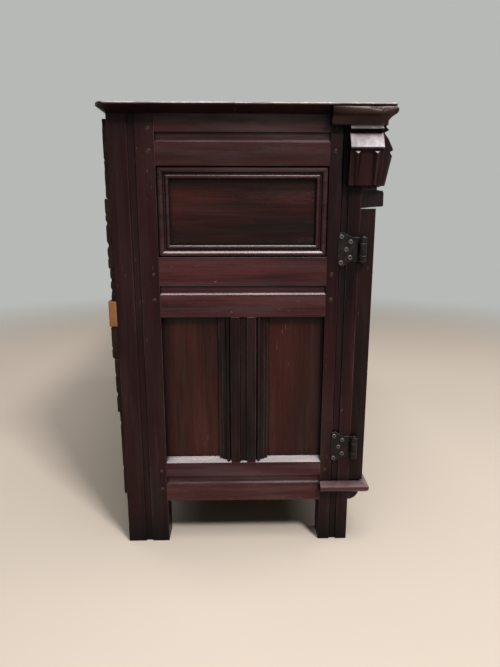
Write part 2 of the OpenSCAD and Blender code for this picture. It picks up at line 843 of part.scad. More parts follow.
module top_board_front() {
    joint_s = face_s + end_overhang - front_top_board_w;
    color(oak) difference() {
        top_slab(joint_s + board_gap / 2, face_s + end_overhang);
        top_nail_places() nail_seat(nail_l + top_t);
    }
}

module top_board_rear() {
    joint_s = face_s + end_overhang - front_top_board_w;
    color(oak) difference() {
        top_slab(-back_overhang, joint_s - board_gap / 2);
        top_nail_places() nail_seat(nail_l + top_t);
    }
}

// A loose board between two depths, notched round the posts
module notched_board(x0, x1, s0, s1, z, t) {
    intersection() {
        block(x0, s0, z, [x1 - x0, s1 - s0, t]);
        union() {
            block(-inner_w / 2 + seat_gap, 0, z, [inner_w - 2 * seat_gap, body_d, t]);
            block(-half_w + rail_t + seat_gap, rear_post_d + seat_gap, z,
                [body_w - 2 * rail_t - 2 * seat_gap, rail_l - 2 * seat_gap, t]);
        }
    }
}

module shelf() {
    middle_s = shelf_front_s / 2;
    color(oak_inside) {
        notched_board(-half_w, half_w, seat_gap, middle_s - board_gap / 2,
            shelf_z, shelf_t);
        notched_board(-half_w, half_w, middle_s + board_gap / 2, shelf_front_s,
            shelf_z, shelf_t);
    }
}

module shelf_ledgers() {
    color(oak_inside) {
        for (right = [false, true]) on_end(right)
            block(-half_w + rail_t, rear_post_d, shelf_z - ledger_h,
                [ledger_t, rail_l, ledger_h]);
        block(-inner_w / 2, 0, shelf_z - ledger_h, [inner_w, ledger_t, ledger_h]);
    }
}

module floor_boards() {
    floor_w = body_w - 2 * rail_t;
    pitch = floor_w / floor_boards_n;
    color(oak_inside) for (i = [0 : floor_boards_n - 1])
        notched_board(-floor_w / 2 + i * pitch + board_gap / 2,
            -floor_w / 2 + (i + 1) * pitch - board_gap / 2,
            rail_t, body_d - rail_t, front_sill_top - floor_t, floor_t);
}

module floor_ledgers() {
    z = front_sill_top - floor_t - ledger_h;
    color(oak_inside) for (s = [rail_t, body_d - rail_t - ledger_t])
        block(-inner_w / 2, s, z, [inner_w, ledger_t, ledger_h]);
}

// Back boards, each with its lower edge, its upper edge and its thickness
back_board_rows = [[back_foot_z, 275, 5], [275, 380, 9], [380, batten_z, 12.5],
    [batten_z + batten_h, 547, 8], [547, 668, 10.5], [668, frame_top - 9, 7.5]];

module back_boards() {
    color(oak_rough) difference() {
        for (row = back_board_rows)
            block(-half_w + 1, -row[2], row[0] + board_gap / 2,
                [body_w - 2, row[2], row[1] - row[0] - board_gap]);
        back_nail_places() nail_hole(nail_l);
    }
}

module back_batten() {
    color(pine) difference() {
        block(-half_w, -batten_t, batten_z + board_gap / 2,
            [body_w, batten_t, batten_h - board_gap]);
        back_nail_places() nail_hole(nail_l);
    }
}

module frame_pegs() {
    color(oak_rough) for (right = [false, true]) on_end(right) {
        for (rail = end_rails, z = peg_heights(rail)) {
            end_peg(rear_post_d - peg_inset, z, peg_r, peg_proud);
            end_peg(front_post_s + peg_inset, z, peg_r, 0);
        }
        muntin_peg(peg_r, peg_proud);
        for (rail = back_rail_set, z = peg_heights(rail))
            depth_peg(-inner_w / 2 - peg_inset, 0, z, peg_r, 0, 1);
        for (rail = front_rails, z = peg_heights(rail))
            depth_peg(-inner_w / 2 - peg_inset, body_d, z, peg_r, 0, -1);
    }
}

// A nail's shank, driven towards -Z from Z = 0
module nail_pin(length) {
    translate([-nail_shank / 2, -nail_shank / 2, -length])
        cube([nail_shank, nail_shank, length]);
}

// A hand-made nail driven towards -Z, with the underside of its head at Z = 0
module nail(length) {
    cylinder(r1 = nail_r, r2 = nail_r * 0.45, h = nail_head_h);
    nail_pin(length);
}

// The hole that a nail's shank fills
module nail_hole(length) {
    width = nail_shank + 2 * seat_gap;
    translate([-width / 2, -width / 2, -length - seat_gap]) cube([width, width, length + 2]);
}

// A nail's hole with a pocket that takes its head too
module nail_seat(length) {
    nail_hole(length);
    translate([0, 0, -seat_gap]) cylinder(r = nail_r + seat_gap, h = nail_head_h + 1);
}

// Where the nails of the back boards and the batten enter, at both ends
module back_nail_places() {
    for (x = [-half_w + nail_edge, half_w - nail_edge], side = [-1, 1]) {
        for (row = back_board_rows)
            translate([x, back_y + row[2],
                (row[0] + row[1]) / 2 + side * (row[1] - row[0]) * 0.3])
                rotate([-90, 0, 0]) children();
        translate([x, back_y + batten_t,
            batten_z + batten_h / 2 + side * batten_h / 4])
            rotate([-90, 0, 0]) children();
    }
}

// Where the nails of the top boards enter, at both ends, with their heads punched in flush
module top_nail_places() {
    for (x = [-half_w + rail_t / 2, half_w - rail_t / 2],
            s = [rear_post_d / 2, body_d / 3, body_d * 0.6, body_d - front_post_d / 2])
        translate([x, back_y - s, overall_h - nail_head_h]) children();
}

module board_nails() {
    color(iron) {
        back_nail_places() nail(nail_l);
        top_nail_places() nail(nail_l + top_t);
    }
}

// Outline of a butterfly leaf, from the hinge axis along X, made larger by grow
module leaf_outline(grow) {
    waist = barrel_l / 2 + grow;
    wing = leaf_h / 2 + grow;
    end = leaf_l + grow;
    polygon([[0, -waist], [leaf_l * 0.4, -waist], [leaf_l * 0.6, -waist - (wing - waist) * 0.35],
        [leaf_l * 0.84, -wing], [end - 1.5, -wing + 2.5], [end, -wing * 0.55], [end, wing * 0.55],
        [end - 1.5, wing - 2.5], [leaf_l * 0.84, wing],
        [leaf_l * 0.6, waist + (wing - waist) * 0.35], [leaf_l * 0.4, waist], [0, waist]]);
}

// Nail positions on a leaf: distance from the axis and height
leaf_nails = [[leaf_l * 0.5, barrel_l * 0.31], [leaf_l * 0.67, 0],
    [leaf_l * 0.5, -barrel_l * 0.33], [leaf_l * 0.88, leaf_h * 0.36],
    [leaf_l * 0.88, -leaf_h * 0.38]];

// Where the leaf's nails enter, on a leaf that lies in the XY plane
module leaf_nail_places() {
    for (spot = leaf_nails) translate([spot[0], spot[1], 0]) children();
}

// Plane of the post leaves' outer faces, X from the hinge axis towards the back
module post_leaf_places() {
    for (z = hinge_zs) translate([-half_w - leaf_t, back_y - axis_s, z])
        rotate([90, 0, -90]) mirror([1, 0, 0]) children();
}

// Plane of the door leaves' back faces, X from the door's edge towards its middle
module door_leaf_places() {
    for (z = hinge_zs) translate([-half_w, back_y - body_d, z])
        rotate([-90, 0, 0]) mirror([0, 1, 0]) children();
}

module post_hinge_leaves() {
    gap_l = barrel_l - 2 * knuckle_l;
    color(iron) for (right = [false, true]) on_end(right) {
        difference() {
            post_leaf_places() mirror([0, 0, 1]) linear_extrude(leaf_t) leaf_outline(0);
            for (z = hinge_zs)
                translate([-half_w - leaf_t - 1, back_y - axis_s - 1, z - gap_l / 2])
                    cube([leaf_t + 2, barrel_r + 2.5, gap_l]);
        }
        post_leaf_places() leaf_nail_places() nail(nail_l);
        for (z = hinge_zs, side = [-1, 1]) difference() {
            translate([axis_x, back_y - axis_s,
                z + side * (barrel_l - knuckle_l) / 2 - knuckle_l / 2])
                cylinder(r = barrel_r, h = knuckle_l);
            hinge_bore(z);
        }
    }
}

// Bore for the pin of the left hinge at height z
module hinge_bore(z) {
    translate([axis_x, back_y - axis_s, z - barrel_l])
        cylinder(r = pin_r + run_gap, h = 2 * barrel_l);
}

module hinge_pins() {
    cap_h = 2.5;
    color(iron) for (right = [false, true], z = hinge_zs) on_end(right)
        translate([axis_x, back_y - axis_s, z - barrel_l / 2 - cap_h]) {
            cylinder(r1 = pin_r, r2 = pin_r + 1.5, h = cap_h);
            cylinder(r = pin_r, h = barrel_l + 2 * cap_h);
            translate([0, 0, barrel_l + cap_h]) cylinder(r1 = pin_r + 1.5, r2 = pin_r, h = cap_h);
        }
}

// A door's leaves are let into its back and reach round its edge to the middle knuckles
module door_hinge_leaves(right) {
    middle_h = barrel_l - 2 * knuckle_l - 2 * knuckle_gap;
    color(iron) on_end(right) {
        door_leaf_places() mirror([0, 0, 1]) linear_extrude(leaf_t) leaf_outline(0);
        door_leaf_places() leaf_nail_places() nail_pin(door_nail_l);
        for (z = hinge_zs) difference() {
            union() {
                block(axis_x, body_d, z - middle_h / 2, [axis_out + 1, leaf_t, middle_h]);
                translate([axis_x, back_y - axis_s, z - middle_h / 2])
                    cylinder(r = barrel_r, h = middle_h);
            }
            hinge_bore(z);
        }
    }
}

// A piece of the left door, set out from the door's left edge and its underside
module door_block(x, z, size) {
    block(-half_w + x, body_d, z, size);
}

module door_stiles(right) {
    color(oak) on_end(right) difference() {
        for (x = [0, door_w - stile_w]) door_block(x, door_z, [stile_w, door_t, door_h]);
        for (rail = door_rails)
            block(-half_w + stile_w - tenon_l - seat_gap, body_d + (door_t - tenon_t) / 2 - seat_gap,
                rail[0] + tenon_edge - seat_gap,
                [door_inner_w + 2 * tenon_l + 2 * seat_gap, tenon_t + 2 * seat_gap,
                    rail[1] - 2 * tenon_edge + 2 * seat_gap]);
        block(-half_w + stile_w - groove_d, face_s - door_recess - panel_t - seat_gap,
            door_panel_z - groove_d,
            [door_inner_w + 2 * groove_d, panel_t + 2 * seat_gap,
                door_mid_z - door_panel_z + 2 * groove_d]);
        door_leaf_places() translate([0, 0, -leaf_t - seat_gap])
            linear_extrude(leaf_t + 1 + seat_gap) {
                leaf_outline(seat_gap);
                translate([-1, -barrel_l / 2 - seat_gap])
                    square([leaf_l / 3, barrel_l + 2 * seat_gap]);
            }
        door_leaf_places() leaf_nail_places() nail_hole(door_nail_l);
        door_peg_holes();
        translate([-half_w + door_w - stile_w / 2, back_y - face_s, button_z])
            rotate([-90, 0, 0]) cylinder(r = pivot_r + seat_gap, h = door_t / 2);
    }
}

// Centres of the pegs in the left door
door_peg_spots = [for (rail = door_rails, z = peg_heights(rail),
    x = [stile_w - peg_inset, door_w - stile_w + peg_inset]) [x, z]];

module door_peg_holes() {
    for (spot = door_peg_spots)
        translate([-half_w + spot[0], back_y - face_s - 1, spot[1]]) rotate([-90, 0, 0])
            cylinder(r = peg_r + seat_gap, h = door_t + 2);
}

// Rails, muntins and pegs of a door, each a loose piece
module door_rails_set(right) {
    color(oak_rail) on_end(right) {
        difference() {
            for (rail = door_rails) {
                door_block(stile_w, rail[0], [door_inner_w, door_t, rail[1]]);
                block(-half_w + stile_w - tenon_l, body_d + (door_t - tenon_t) / 2,
                    rail[0] + tenon_edge,
                    [door_inner_w + 2 * tenon_l, tenon_t, rail[1] - 2 * tenon_edge]);
            }
            door_peg_holes();
            for (z = [door_panel_z - groove_d, door_mid_z])
                block(-half_w + stile_w - 1, face_s - door_recess - panel_t - seat_gap, z,
                    [door_inner_w + 2, panel_t + 2 * seat_gap, groove_d]);
            for (x = opening_xs, i = [0 : spindles_n - 1])
                translate([-half_w + x + (i + 0.5) * opening_w / spindles_n,
                    back_y - body_d - door_t / 2, spindle_z - spindle_tenon_l - seat_gap])
                    cylinder(r = spindle_tenon_r + seat_gap,
                        h = spindle_opening_h + 2 * spindle_tenon_l + 2 * seat_gap);
            for (z = [door_panel_z - stub_l, door_mid_z - seat_gap, spindle_z - stub_l,
                    spindle_z + spindle_opening_h - seat_gap])
                block(-half_w + stile_w + opening_w + tenon_edge - seat_gap,
                    body_d + (door_t - tenon_t) / 2 - seat_gap, z,
                    [door_muntin_w - 2 * tenon_edge + 2 * seat_gap, tenon_t + 2 * seat_gap,
                        stub_l + seat_gap]);
        }
        difference() {
            for (bay = [[door_panel_z, door_mid_z],
                    [spindle_z, spindle_z + spindle_opening_h]]) {
                door_block(stile_w + opening_w, bay[0] + seat_gap,
                    [door_muntin_w, door_t, bay[1] - bay[0] - 2 * seat_gap]);
                block(-half_w + stile_w + opening_w + tenon_edge,
                    body_d + (door_t - tenon_t) / 2, bay[0] - stub_l + seat_gap,
                    [door_muntin_w - 2 * tenon_edge, tenon_t,
                        bay[1] - bay[0] + 2 * stub_l - 2 * seat_gap]);
            }
            for (x = [stile_w + opening_w - 1,
                    stile_w + opening_w + door_muntin_w - groove_d])
                block(-half_w + x, face_s - door_recess - panel_t - seat_gap,
                    door_panel_z - 1,
                    [groove_d + 1, panel_t + 2 * seat_gap, door_mid_z - door_panel_z + 2]);
        }
        for (spot = door_peg_spots)
            translate([-half_w + spot[0], back_y - face_s - peg_proud, spot[1]])
                rotate([-90, 0, 0]) cylinder(r = peg_r, h = door_t + peg_proud);
    }
}

// Panels of a door with the mouldings planted on them
module door_panels(right) {
    planting_gap = 0.05;
    color(oak_panel) on_end(right) for (x = opening_xs) {
        block(-half_w + x - tongue, face_s - door_recess - panel_t, door_panel_z - tongue,
            [opening_w + 2 * tongue, panel_t, door_mid_z - door_panel_z + 2 * tongue]);
        translate([-half_w + x, back_y - face_s + door_recess - planting_gap, door_panel_z])
            rotate([90, 0, 0]) planted_frame(opening_w, door_mid_z - door_panel_z);
    }
}

// A turned spindle standing at the origin, between its shoulders
module spindle() {
    h = spindle_opening_h - 2 * seat_gap;
    neck = spindle_r * 0.5;
    translate([0, 0, -spindle_tenon_l]) cylinder(r = spindle_tenon_r, h = h + 2 * spindle_tenon_l);
    rotate_extrude() {
        polygon([[0, 0], [spindle_r, 0], [spindle_r, h * 0.1], [neck, h * 0.13],
            [neck, h * 0.17], [neck * 1.5, h * 0.3], [spindle_r, h * 0.42],
            [neck * 1.2, h * 0.49], [neck * 1.2, h * 0.51], [spindle_r, h * 0.58],
            [neck * 1.5, h * 0.7], [neck, h * 0.83], [neck, h * 0.87], [spindle_r, h * 0.9],
            [spindle_r, h], [0, h]]);
        for (z = [h * 0.15, h * 0.5, h * 0.85]) translate([neck, z]) circle(r = 2.2);
    }
}

module door_spindles(right) {
    color(oak) on_end(right) for (x = opening_xs, i = [0 : spindles_n - 1])
        translate([-half_w + x + (i + 0.5) * opening_w / spindles_n,
            back_y - body_d - door_t / 2, spindle_z + seat_gap]) spindle();
}

module door_knob(right) {
    rose_r = knob_r * 0.75;
    color(oak) on_end(right)
        translate([-half_w + door_w - stile_w / 2, back_y - face_s, button_z])
            rotate([90, 0, 0]) {
                translate([0, 0, -door_t / 2 + 1]) cylinder(r = pivot_r, h = door_t / 2);
                rotate_extrude() polygon([[0, 0], [rose_r, 0], [rose_r, 2.5],
                    [knob_r * 0.42, 5], [knob_r * 0.42, 9], [knob_r * 0.8, 12],
                    [knob_r, knob_p * 0.65], [knob_r, knob_p * 0.75],
                    [knob_r * 0.75, knob_p * 0.93], [knob_r * 0.3, knob_p], [0, knob_p]]);
            }
}

module turn_button() {
    stand_off = 0.3;
    taper = button_w / 3;
    color(oak) translate([0, back_y - face_s - stand_off, button_z]) rotate([90, 0, 0])
        difference() {
            linear_extrude(button_t)
                polygon([[-button_w / 4, -button_l / 2], [button_w / 4, -button_l / 2],
                    [button_w / 2, taper - button_l / 2], [button_w / 2, button_l / 2 - taper],
                    [button_w / 4, button_l / 2], [-button_w / 4, button_l / 2],
                    [-button_w / 2, button_l / 2 - taper],
                    [-button_w / 2, taper - button_l / 2]]);
            translate([0, 0, -1]) cylinder(r = pivot_r + run_gap, h = button_t + 2);
        }
}

module button_pivot() {
    head_gap = 0.6;
    color(iron) translate([0, back_y - face_s, button_z]) rotate([90, 0, 0]) {
        translate([0, 0, -door_t / 2 + 1]) cylinder(r = pivot_r, h = door_t / 2 + button_t);
        translate([0, 0, button_t + head_gap]) cylinder(r1 = pivot_r * 2, r2 = pivot_r, h = 2.5);
    }
}

rear_post(false);  // rear_post_left
rear_post(true);  // rear_post_right
front_post(false);  // front_post_left
front_post(true);  // front_post_right
end_top_rail(false);  // end_top_rail_left
end_top_rail(true);  // end_top_rail_right
end_mid_rail(false);  // end_mid_rail_left
end_mid_rail(true);  // end_mid_rail_right
end_bottom_rail(false);  // end_bottom_rail_left
end_bottom_rail(true);  // end_bottom_rail_right
end_muntin(false);  // end_muntin_left
end_muntin(true);  // end_muntin_right
end_upper_panel(false);  // end_upper_panel_left
end_upper_panel(true);  // end_upper_panel_right
end_lower_panels(false);  // end_lower_panels_left
end_lower_panels(true);  // end_lower_panels_right
end_moulding(false);  // end_moulding_left
end_moulding(true);  // end_moulding_right
front_top_rail();
front_bottom_rail();
front_muntin();
back_rails();
frieze_board();
waist_moulding();
centre_strip();
cornice_front();
cornice_return(false);  // cornice_return_left
cornice_return(true);  // cornice_return_right
base_front();
base_return(false);  // base_return_left
base_return(true);  // base_return_right
front_corbels();
end_corbel(false);  // end_corbel_left
end_corbel(true);  // end_corbel_right
top_board_front();
top_board_rear();
shelf();
shelf_ledgers();
floor_boards();
floor_ledgers();
back_boards();
back_batten();
frame_pegs();
board_nails();
post_hinge_leaves();
hinge_pins();
button_pivot();
turn_button();
door_stiles(false);  // door_left_stiles
door_stiles(true);  // door_right_stiles
door_rails_set(false);  // door_left_rails
door_rails_set(true);  // door_right_rails
door_panels(false);  // door_left_panels
door_panels(true);  // door_right_panels
door_spindles(false);  // door_left_spindles
door_spindles(true);  // door_right_spindles
door_hinge_leaves(false);  // door_left_hinge_leaves
door_hinge_leaves(true);  // door_right_hinge_leaves
door_knob(false);  // door_left_knob
door_knob(true);  // door_right_knob
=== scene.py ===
# %% [markdown]
# # A joined oak food cupboard
#
# The cupboard is a 17th-century form: two panelled ends, a corbelled frieze, two doors that lie
# over the front of the posts, and a boarded back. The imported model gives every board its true
# shape and place. This script gives the boards their finish, and makes the pieces whose shape
# is rough or hand-made: nails, pegs, turned spindles, torn back boards, a bruised cornice and a
# worn top. Lengths are in metres.

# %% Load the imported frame
import json
import math

import bmesh
import bpy
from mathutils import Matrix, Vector, noise


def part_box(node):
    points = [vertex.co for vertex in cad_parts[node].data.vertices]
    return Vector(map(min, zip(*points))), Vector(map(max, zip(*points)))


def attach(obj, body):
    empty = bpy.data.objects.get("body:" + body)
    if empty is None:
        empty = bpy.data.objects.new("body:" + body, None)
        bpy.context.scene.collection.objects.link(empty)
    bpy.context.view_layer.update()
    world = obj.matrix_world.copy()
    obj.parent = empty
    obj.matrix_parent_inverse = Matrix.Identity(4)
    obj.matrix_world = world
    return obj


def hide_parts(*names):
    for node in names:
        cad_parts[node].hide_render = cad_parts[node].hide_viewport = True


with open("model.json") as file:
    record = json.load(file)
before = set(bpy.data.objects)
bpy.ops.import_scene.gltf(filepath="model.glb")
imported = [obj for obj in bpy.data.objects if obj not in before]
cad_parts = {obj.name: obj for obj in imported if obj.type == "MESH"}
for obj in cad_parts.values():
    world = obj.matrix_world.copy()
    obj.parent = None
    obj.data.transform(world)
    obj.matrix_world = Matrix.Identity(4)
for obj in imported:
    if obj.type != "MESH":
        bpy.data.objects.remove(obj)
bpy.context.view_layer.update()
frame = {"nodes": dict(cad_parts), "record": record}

# %% [markdown]
# ## Writing node trees as expressions
#
# A shader is arithmetic on values that change over the surface. One small class wraps a node's
# output, so that `1 - mask * 0.5` adds its Math nodes by itself. Everything that is not plain
# arithmetic comes from one method, which sets a node's settings first and its sockets after.


# %% A value in a node tree
class Value:
    """An output socket in a shader tree or a geometry tree."""

    def __init__(self, tree, socket):
        self.tree = tree
        self.socket = socket

    def node(self, kind, settings=None, inputs=None, out=0):
        return add_node(self.tree, kind, settings, inputs, out)

    def _math(self, operation, first, second):
        return self.node("ShaderNodeMath", {"operation": operation}, {0: first, 1: second})

    def __add__(self, other):
        return self._math("ADD", self, other)

    def __radd__(self, other):
        return self._math("ADD", other, self)

    def __sub__(self, other):
        return self._math("SUBTRACT", self, other)

    def __rsub__(self, other):
        return self._math("SUBTRACT", other, self)

    def __mul__(self, other):
        return self._math("MULTIPLY", self, other)

    def __rmul__(self, other):
        return self._math("MULTIPLY", other, self)

    def __gt__(self, other):
        return self._math("GREATER_THAN", self, other)

    def rise(self, low, high):
        """0 below low, 1 above high, and a smooth step between them."""
        return self.node("ShaderNodeMapRange", {"interpolation_type": "SMOOTHSTEP"},
                         {"Value": self, "From Min": low, "From Max": high})


def add_node(tree, kind, settings=None, inputs=None, out=0):
    """Adds a node: settings first, then sockets by name or number. Returns one output."""
    node = tree.nodes.new(kind)
    for key, setting in (settings or {}).items():
        setattr(node, key, setting)
    for key, value in (inputs or {}).items():
        if isinstance(value, Value):
            tree.links.new(value.socket, node.inputs[key])
        else:
            node.inputs[key].default_value = value
    return Value(tree, node.outputs[out])


def empty_tree(owner):
    """Turns on the nodes of a material or a world and returns its tree without any."""
    owner.use_nodes = True
    owner.node_tree.nodes.clear()
    return owner.node_tree


def end_shader(tree, surface, kind="Material"):
    tree.links.new(surface.socket, tree.nodes.new("ShaderNodeOutput" + kind).inputs[0])


def blend(factor, first, second):
    """Mixes two colours; a colour is a socket or a triple."""
    colours = [c if isinstance(c, Value) else (*c, 1.0) for c in (first, second)]
    return factor.node("ShaderNodeMix", {"data_type": "RGBA"},
                       {0: factor, 6: colours[0], 7: colours[1]}, out=2)


def object_place(tree):
    """The place on the surface in the object's own metres."""
    return add_node(tree, "ShaderNodeTexCoord", out=3)


def openness(tree, reach):
    """How open the surroundings are within reach: 1 in the open, less near other wood."""
    return add_node(tree, "ShaderNodeAmbientOcclusion", {"samples": 6}, {"Distance": reach},
                    out=1)


# %% [markdown]
# ## Reading the surface
#
# Wood is a solid material, so its pattern is read from the object's own coordinates and runs
# through a board: long streaks on its faces, dots on its ends. The grain runs along one axis,
# so the coordinates are reordered to put that axis first. Where one node holds several boards,
# the pattern jumps at each joint, as it would between two boards.


# %% Coordinates that follow the grain
GRAIN_ORDER = {"X": (0, 1, 2), "Y": (1, 0, 2), "Z": (2, 1, 0)}
# How far a board's number moves its pattern along the grain and across it
MOVE_ALONG, MOVE_ACROSS = 1.7, 0.31


def grain_space(tree, grain, shift, joints):
    """The place, the same as (along, across, across), and a number that differs per board."""
    place = object_place(tree)
    split = [place.node("ShaderNodeSeparateXYZ", inputs={0: place}, out=i) for i in range(3)]
    board = split[0] * 0.0 + shift
    for axis, where, jump in joints:
        board = board + (split["XYZ".index(axis)] > where) * jump
    along, across, deep = [split[number] for number in GRAIN_ORDER[grain]]
    wood = place.node("ShaderNodeCombineXYZ", inputs={
        0: along + board * MOVE_ALONG, 1: across + board * MOVE_ACROSS, 2: deep})
    return place, wood, board


def streaks(wood, along, across, detail=3.0, roughness=0.55, warp=0.0):
    """Noise drawn out along the grain: cycles per metre along it and across it."""
    stretched = wood.node("ShaderNodeVectorMath", {"operation": "MULTIPLY"},
                          {0: wood, 1: (along, across, across)})
    return wood.node("ShaderNodeTexNoise", inputs={
        "Vector": stretched, "Scale": 1.0, "Detail": detail, "Roughness": roughness,
        "Distortion": warp})


# %% [markdown]
# ## Worn edges with painted highlights, and darker corners
#
# Three centuries of handling round every arris and polish it, and their colour is made paler
# both for that wear and as a painted highlight; inner corners are made darker. The Bevel node
# gives a rounded normal near an edge without new faces. Where that normal leaves the true one,
# there is an edge, and Ambient Occlusion tells an open arris from an inner corner.


# %% Edge and corner masks
def edges_and_corners(tree, radius, reach):
    """A normal with rounded arrises, a mask of open arrises and one of inner corners."""
    rounded = add_node(tree, "ShaderNodeBevel", {"samples": 6}, {"Radius": radius})
    true = add_node(tree, "ShaderNodeNewGeometry", out=1)
    agree = rounded.node("ShaderNodeVectorMath", {"operation": "DOT_PRODUCT"},
                         {0: rounded, 1: true}, out=1)
    around = openness(tree, reach)
    arris = (1 - agree).rise(0.01, 0.22) * around.rise(0.62, 0.95)
    corner = 1 - around.rise(0.35, 0.9)
    return rounded, arris, corner


# %% [markdown]
# ## Oak
#
# Old waxed oak is nearly black, with red in the places where the wax has been rubbed away. Its
# pores are short dark strokes along the grain. They sit in bands, one for each year. The finish
# is a soft gloss that the pores break up, so pores go into the colour, the roughness and the
# bump together. Slopes that face upwards are another matter: hands and dusters have polished
# them and dust lies in the wax, so they shine far more than the upright faces; their colour is
# paler, for that dust and as a painted highlight. Level faces are left out of that. Places near
# other boards get painted shade: their colour is made darker still.


# %% Oak finish
WOOD_ARRIS, WOOD_CORNER, WOOD_RELIEF = 0.0022, 0.012, 0.0010
# The upward part of the normal at which a slope counts as a level face
LEVEL_FROM, LEVEL_TO = 0.93, 0.99
# Turns a board's number into a shade that looks random
SHADE_STEP = 12.9


# The arris colour and the ledge colour hold painted highlights as well as wear and dust;
# shade_reach sets how far the painted shade looks for other wood.
def oak(name, grain, dark, light, shift=0.0, joints=(), gloss=0.40, wax=0.25, ledge_wax=0.9,
        pits=0.5, arris_wear_and_highlight=(0.10, 0.038, 0.034), corner_dark_colour=(0.006, 0.004, 0.0035),
        ledge_dust_and_highlight=(0.27, 0.155, 0.16), ledge_from=(0.35, 0.6), shade_reach=0.09, specular=0.18,
        scratched=(0.15, 0.09, 0.09)):
    material = bpy.data.materials.new(name)
    tree = empty_tree(material)
    place, wood, board = grain_space(tree, grain, shift, joints)
    rounded, arris, corner = edges_and_corners(tree, WOOD_ARRIS, WOOD_CORNER)

    years = streaks(wood, 1.3, 55.0, detail=2.0, warp=0.6)
    fibre = streaks(wood, 9.0, 420.0, detail=4.0)
    cloud = streaks(wood, 2.2, 9.0, detail=3.0)
    pores = streaks(wood, 55.0, 1500.0, detail=2.0).rise(0.56, 0.68) * years.rise(0.4, 0.6)
    speckle = place.node("ShaderNodeTexVoronoi", {"feature": "F1"},
                         {"Vector": place, "Scale": 38.0, "Randomness": 1.0})
    pit = (1 - speckle.rise(0.03, 0.11)) * cloud.rise(0.5, 0.62) * pits
    ripple = streaks(wood, 7.0, 16.0, detail=2.0)
    rub = streaks(wood, 4.0, 42.0, detail=5.0, roughness=0.65).rise(0.42, 0.64)
    scratch = streaks(wood, 60.0, 300.0, detail=1.0).rise(0.72, 0.78) * cloud.rise(0.5, 0.62)
    facing = add_node(tree, "ShaderNodeTexCoord", out=1)
    upward = facing.node("ShaderNodeSeparateXYZ", inputs={0: facing}, out=2)
    slope = upward.rise(*ledge_from) * (1 - upward.rise(LEVEL_FROM, LEVEL_TO))
    # 1 in the open, less near other wood: used below to paint shade into the colour
    share_outside_painted_shade = openness(tree, shade_reach).rise(0.5, 0.97)

    tone = (years * 0.6 + fibre * 0.65 + cloud * 1.35 - 0.80).rise(0.12, 0.95)
    # painted shade: the tone falls towards dark where other wood is near
    colour = blend(tone * (0.15 + share_outside_painted_shade * 0.85), dark, light)
    wave = board.node("ShaderNodeMath", {"operation": "SINE"}, {0: board * SHADE_STEP})
    shade = wave * 0.5 + 0.5
    warm = tuple(min(1.0, 1.9 * a + 0.4 * b) for a, b in zip(dark, light))
    colour = blend(shade * 0.45, colour, warm)
    colour = blend(pores * 0.75, colour, tuple(0.35 * c for c in dark))
    # worn arrises: paler for the wear and as a painted highlight
    colour = blend(arris * (0.35 + rub * 0.65), colour, arris_wear_and_highlight)
    # upward slopes: paler for dust in the wax and as a painted highlight, less in the corners
    colour = blend(slope * (0.35 + rub * 0.45) * (1 - corner * 0.7), colour, ledge_dust_and_highlight)
    colour = blend(scratch * 0.6, colour, scratched)
    # inner corners: blended towards a darker colour
    colour = blend(corner * 0.55, colour, corner_dark_colour)
    colour = blend(pit, colour, tuple(0.2 * c for c in dark))
    # painted shade: places near other wood are blended towards a third of dark
    colour = blend(share_outside_painted_shade, tuple(0.3 * c for c in dark), colour)

    rough = gloss + pores * 0.2 + corner * 0.3 - arris * 0.08 + (cloud - 0.5) * 0.25 + pit * 0.2
    height = ripple * 0.55 - pores * 0.16 + fibre * 0.08 - pit
    bump = height.node("ShaderNodeBump", inputs={
        "Strength": 0.5, "Distance": WOOD_RELIEF, "Height": height, "Normal": rounded})
    surface = add_node(tree, "ShaderNodeBsdfPrincipled", inputs={
        "Base Color": colour, "Roughness": rough, "Normal": bump,
        "Coat Weight": slope * ledge_wax + rub * share_outside_painted_shade * wax, "Coat Roughness": 0.24,
        "IOR": 1.48, "Specular IOR Level": specular})
    end_shader(tree, surface)
    return material


# %% [markdown]
# ## Separate boards in one node
#
# Some nodes hold several boards. The box of each separate solid says where one board ends and
# the next begins.


# %% The solids of a node and the joints between them
MERGE = 1e-6
FIRST_JUMP, MORE_JUMP = 1.1, 0.37


def merged_copy(node):
    """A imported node's mesh as a bmesh with its doubled points merged."""
    work = bmesh.new()
    work.from_mesh(frame["nodes"][node].data)
    bmesh.ops.remove_doubles(work, verts=work.verts, dist=MERGE)
    return work


def solid_boxes(node):
    """The box (low, high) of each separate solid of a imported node."""
    work = merged_copy(node)
    left, boxes = set(work.verts), []
    while left:
        front = [left.pop()]
        found = []
        while front:
            point = front.pop()
            found.append(point.co.copy())
            near = {edge.other_vert(point) for edge in point.link_edges} & left
            left -= near
            front.extend(near)
        boxes.append((Vector([min(p[i] for p in found) for i in range(3)]),
                      Vector([max(p[i] for p in found) for i in range(3)])))
    work.free()
    return sorted(boxes, key=lambda box: tuple(round(v, 5) for v in box[0]))


def board_joints(node, axis):
    """A joint for the finish at the low side of each board but the first."""
    number = "XYZ".index(axis)
    starts = sorted({round(low[number], 4) for low, high in solid_boxes(node)})
    return [(axis, start, FIRST_JUMP + MORE_JUMP * count)
            for count, start in enumerate(starts[1:])]


# %% [markdown]
# ## Which board has which finish
#
# The record names a slot for every node, such as frame oak or rough oak. Each node gets its own
# copy of the slot's finish, with the grain along the board and its own shift through the wood,
# so that no two boards show the same streaks.

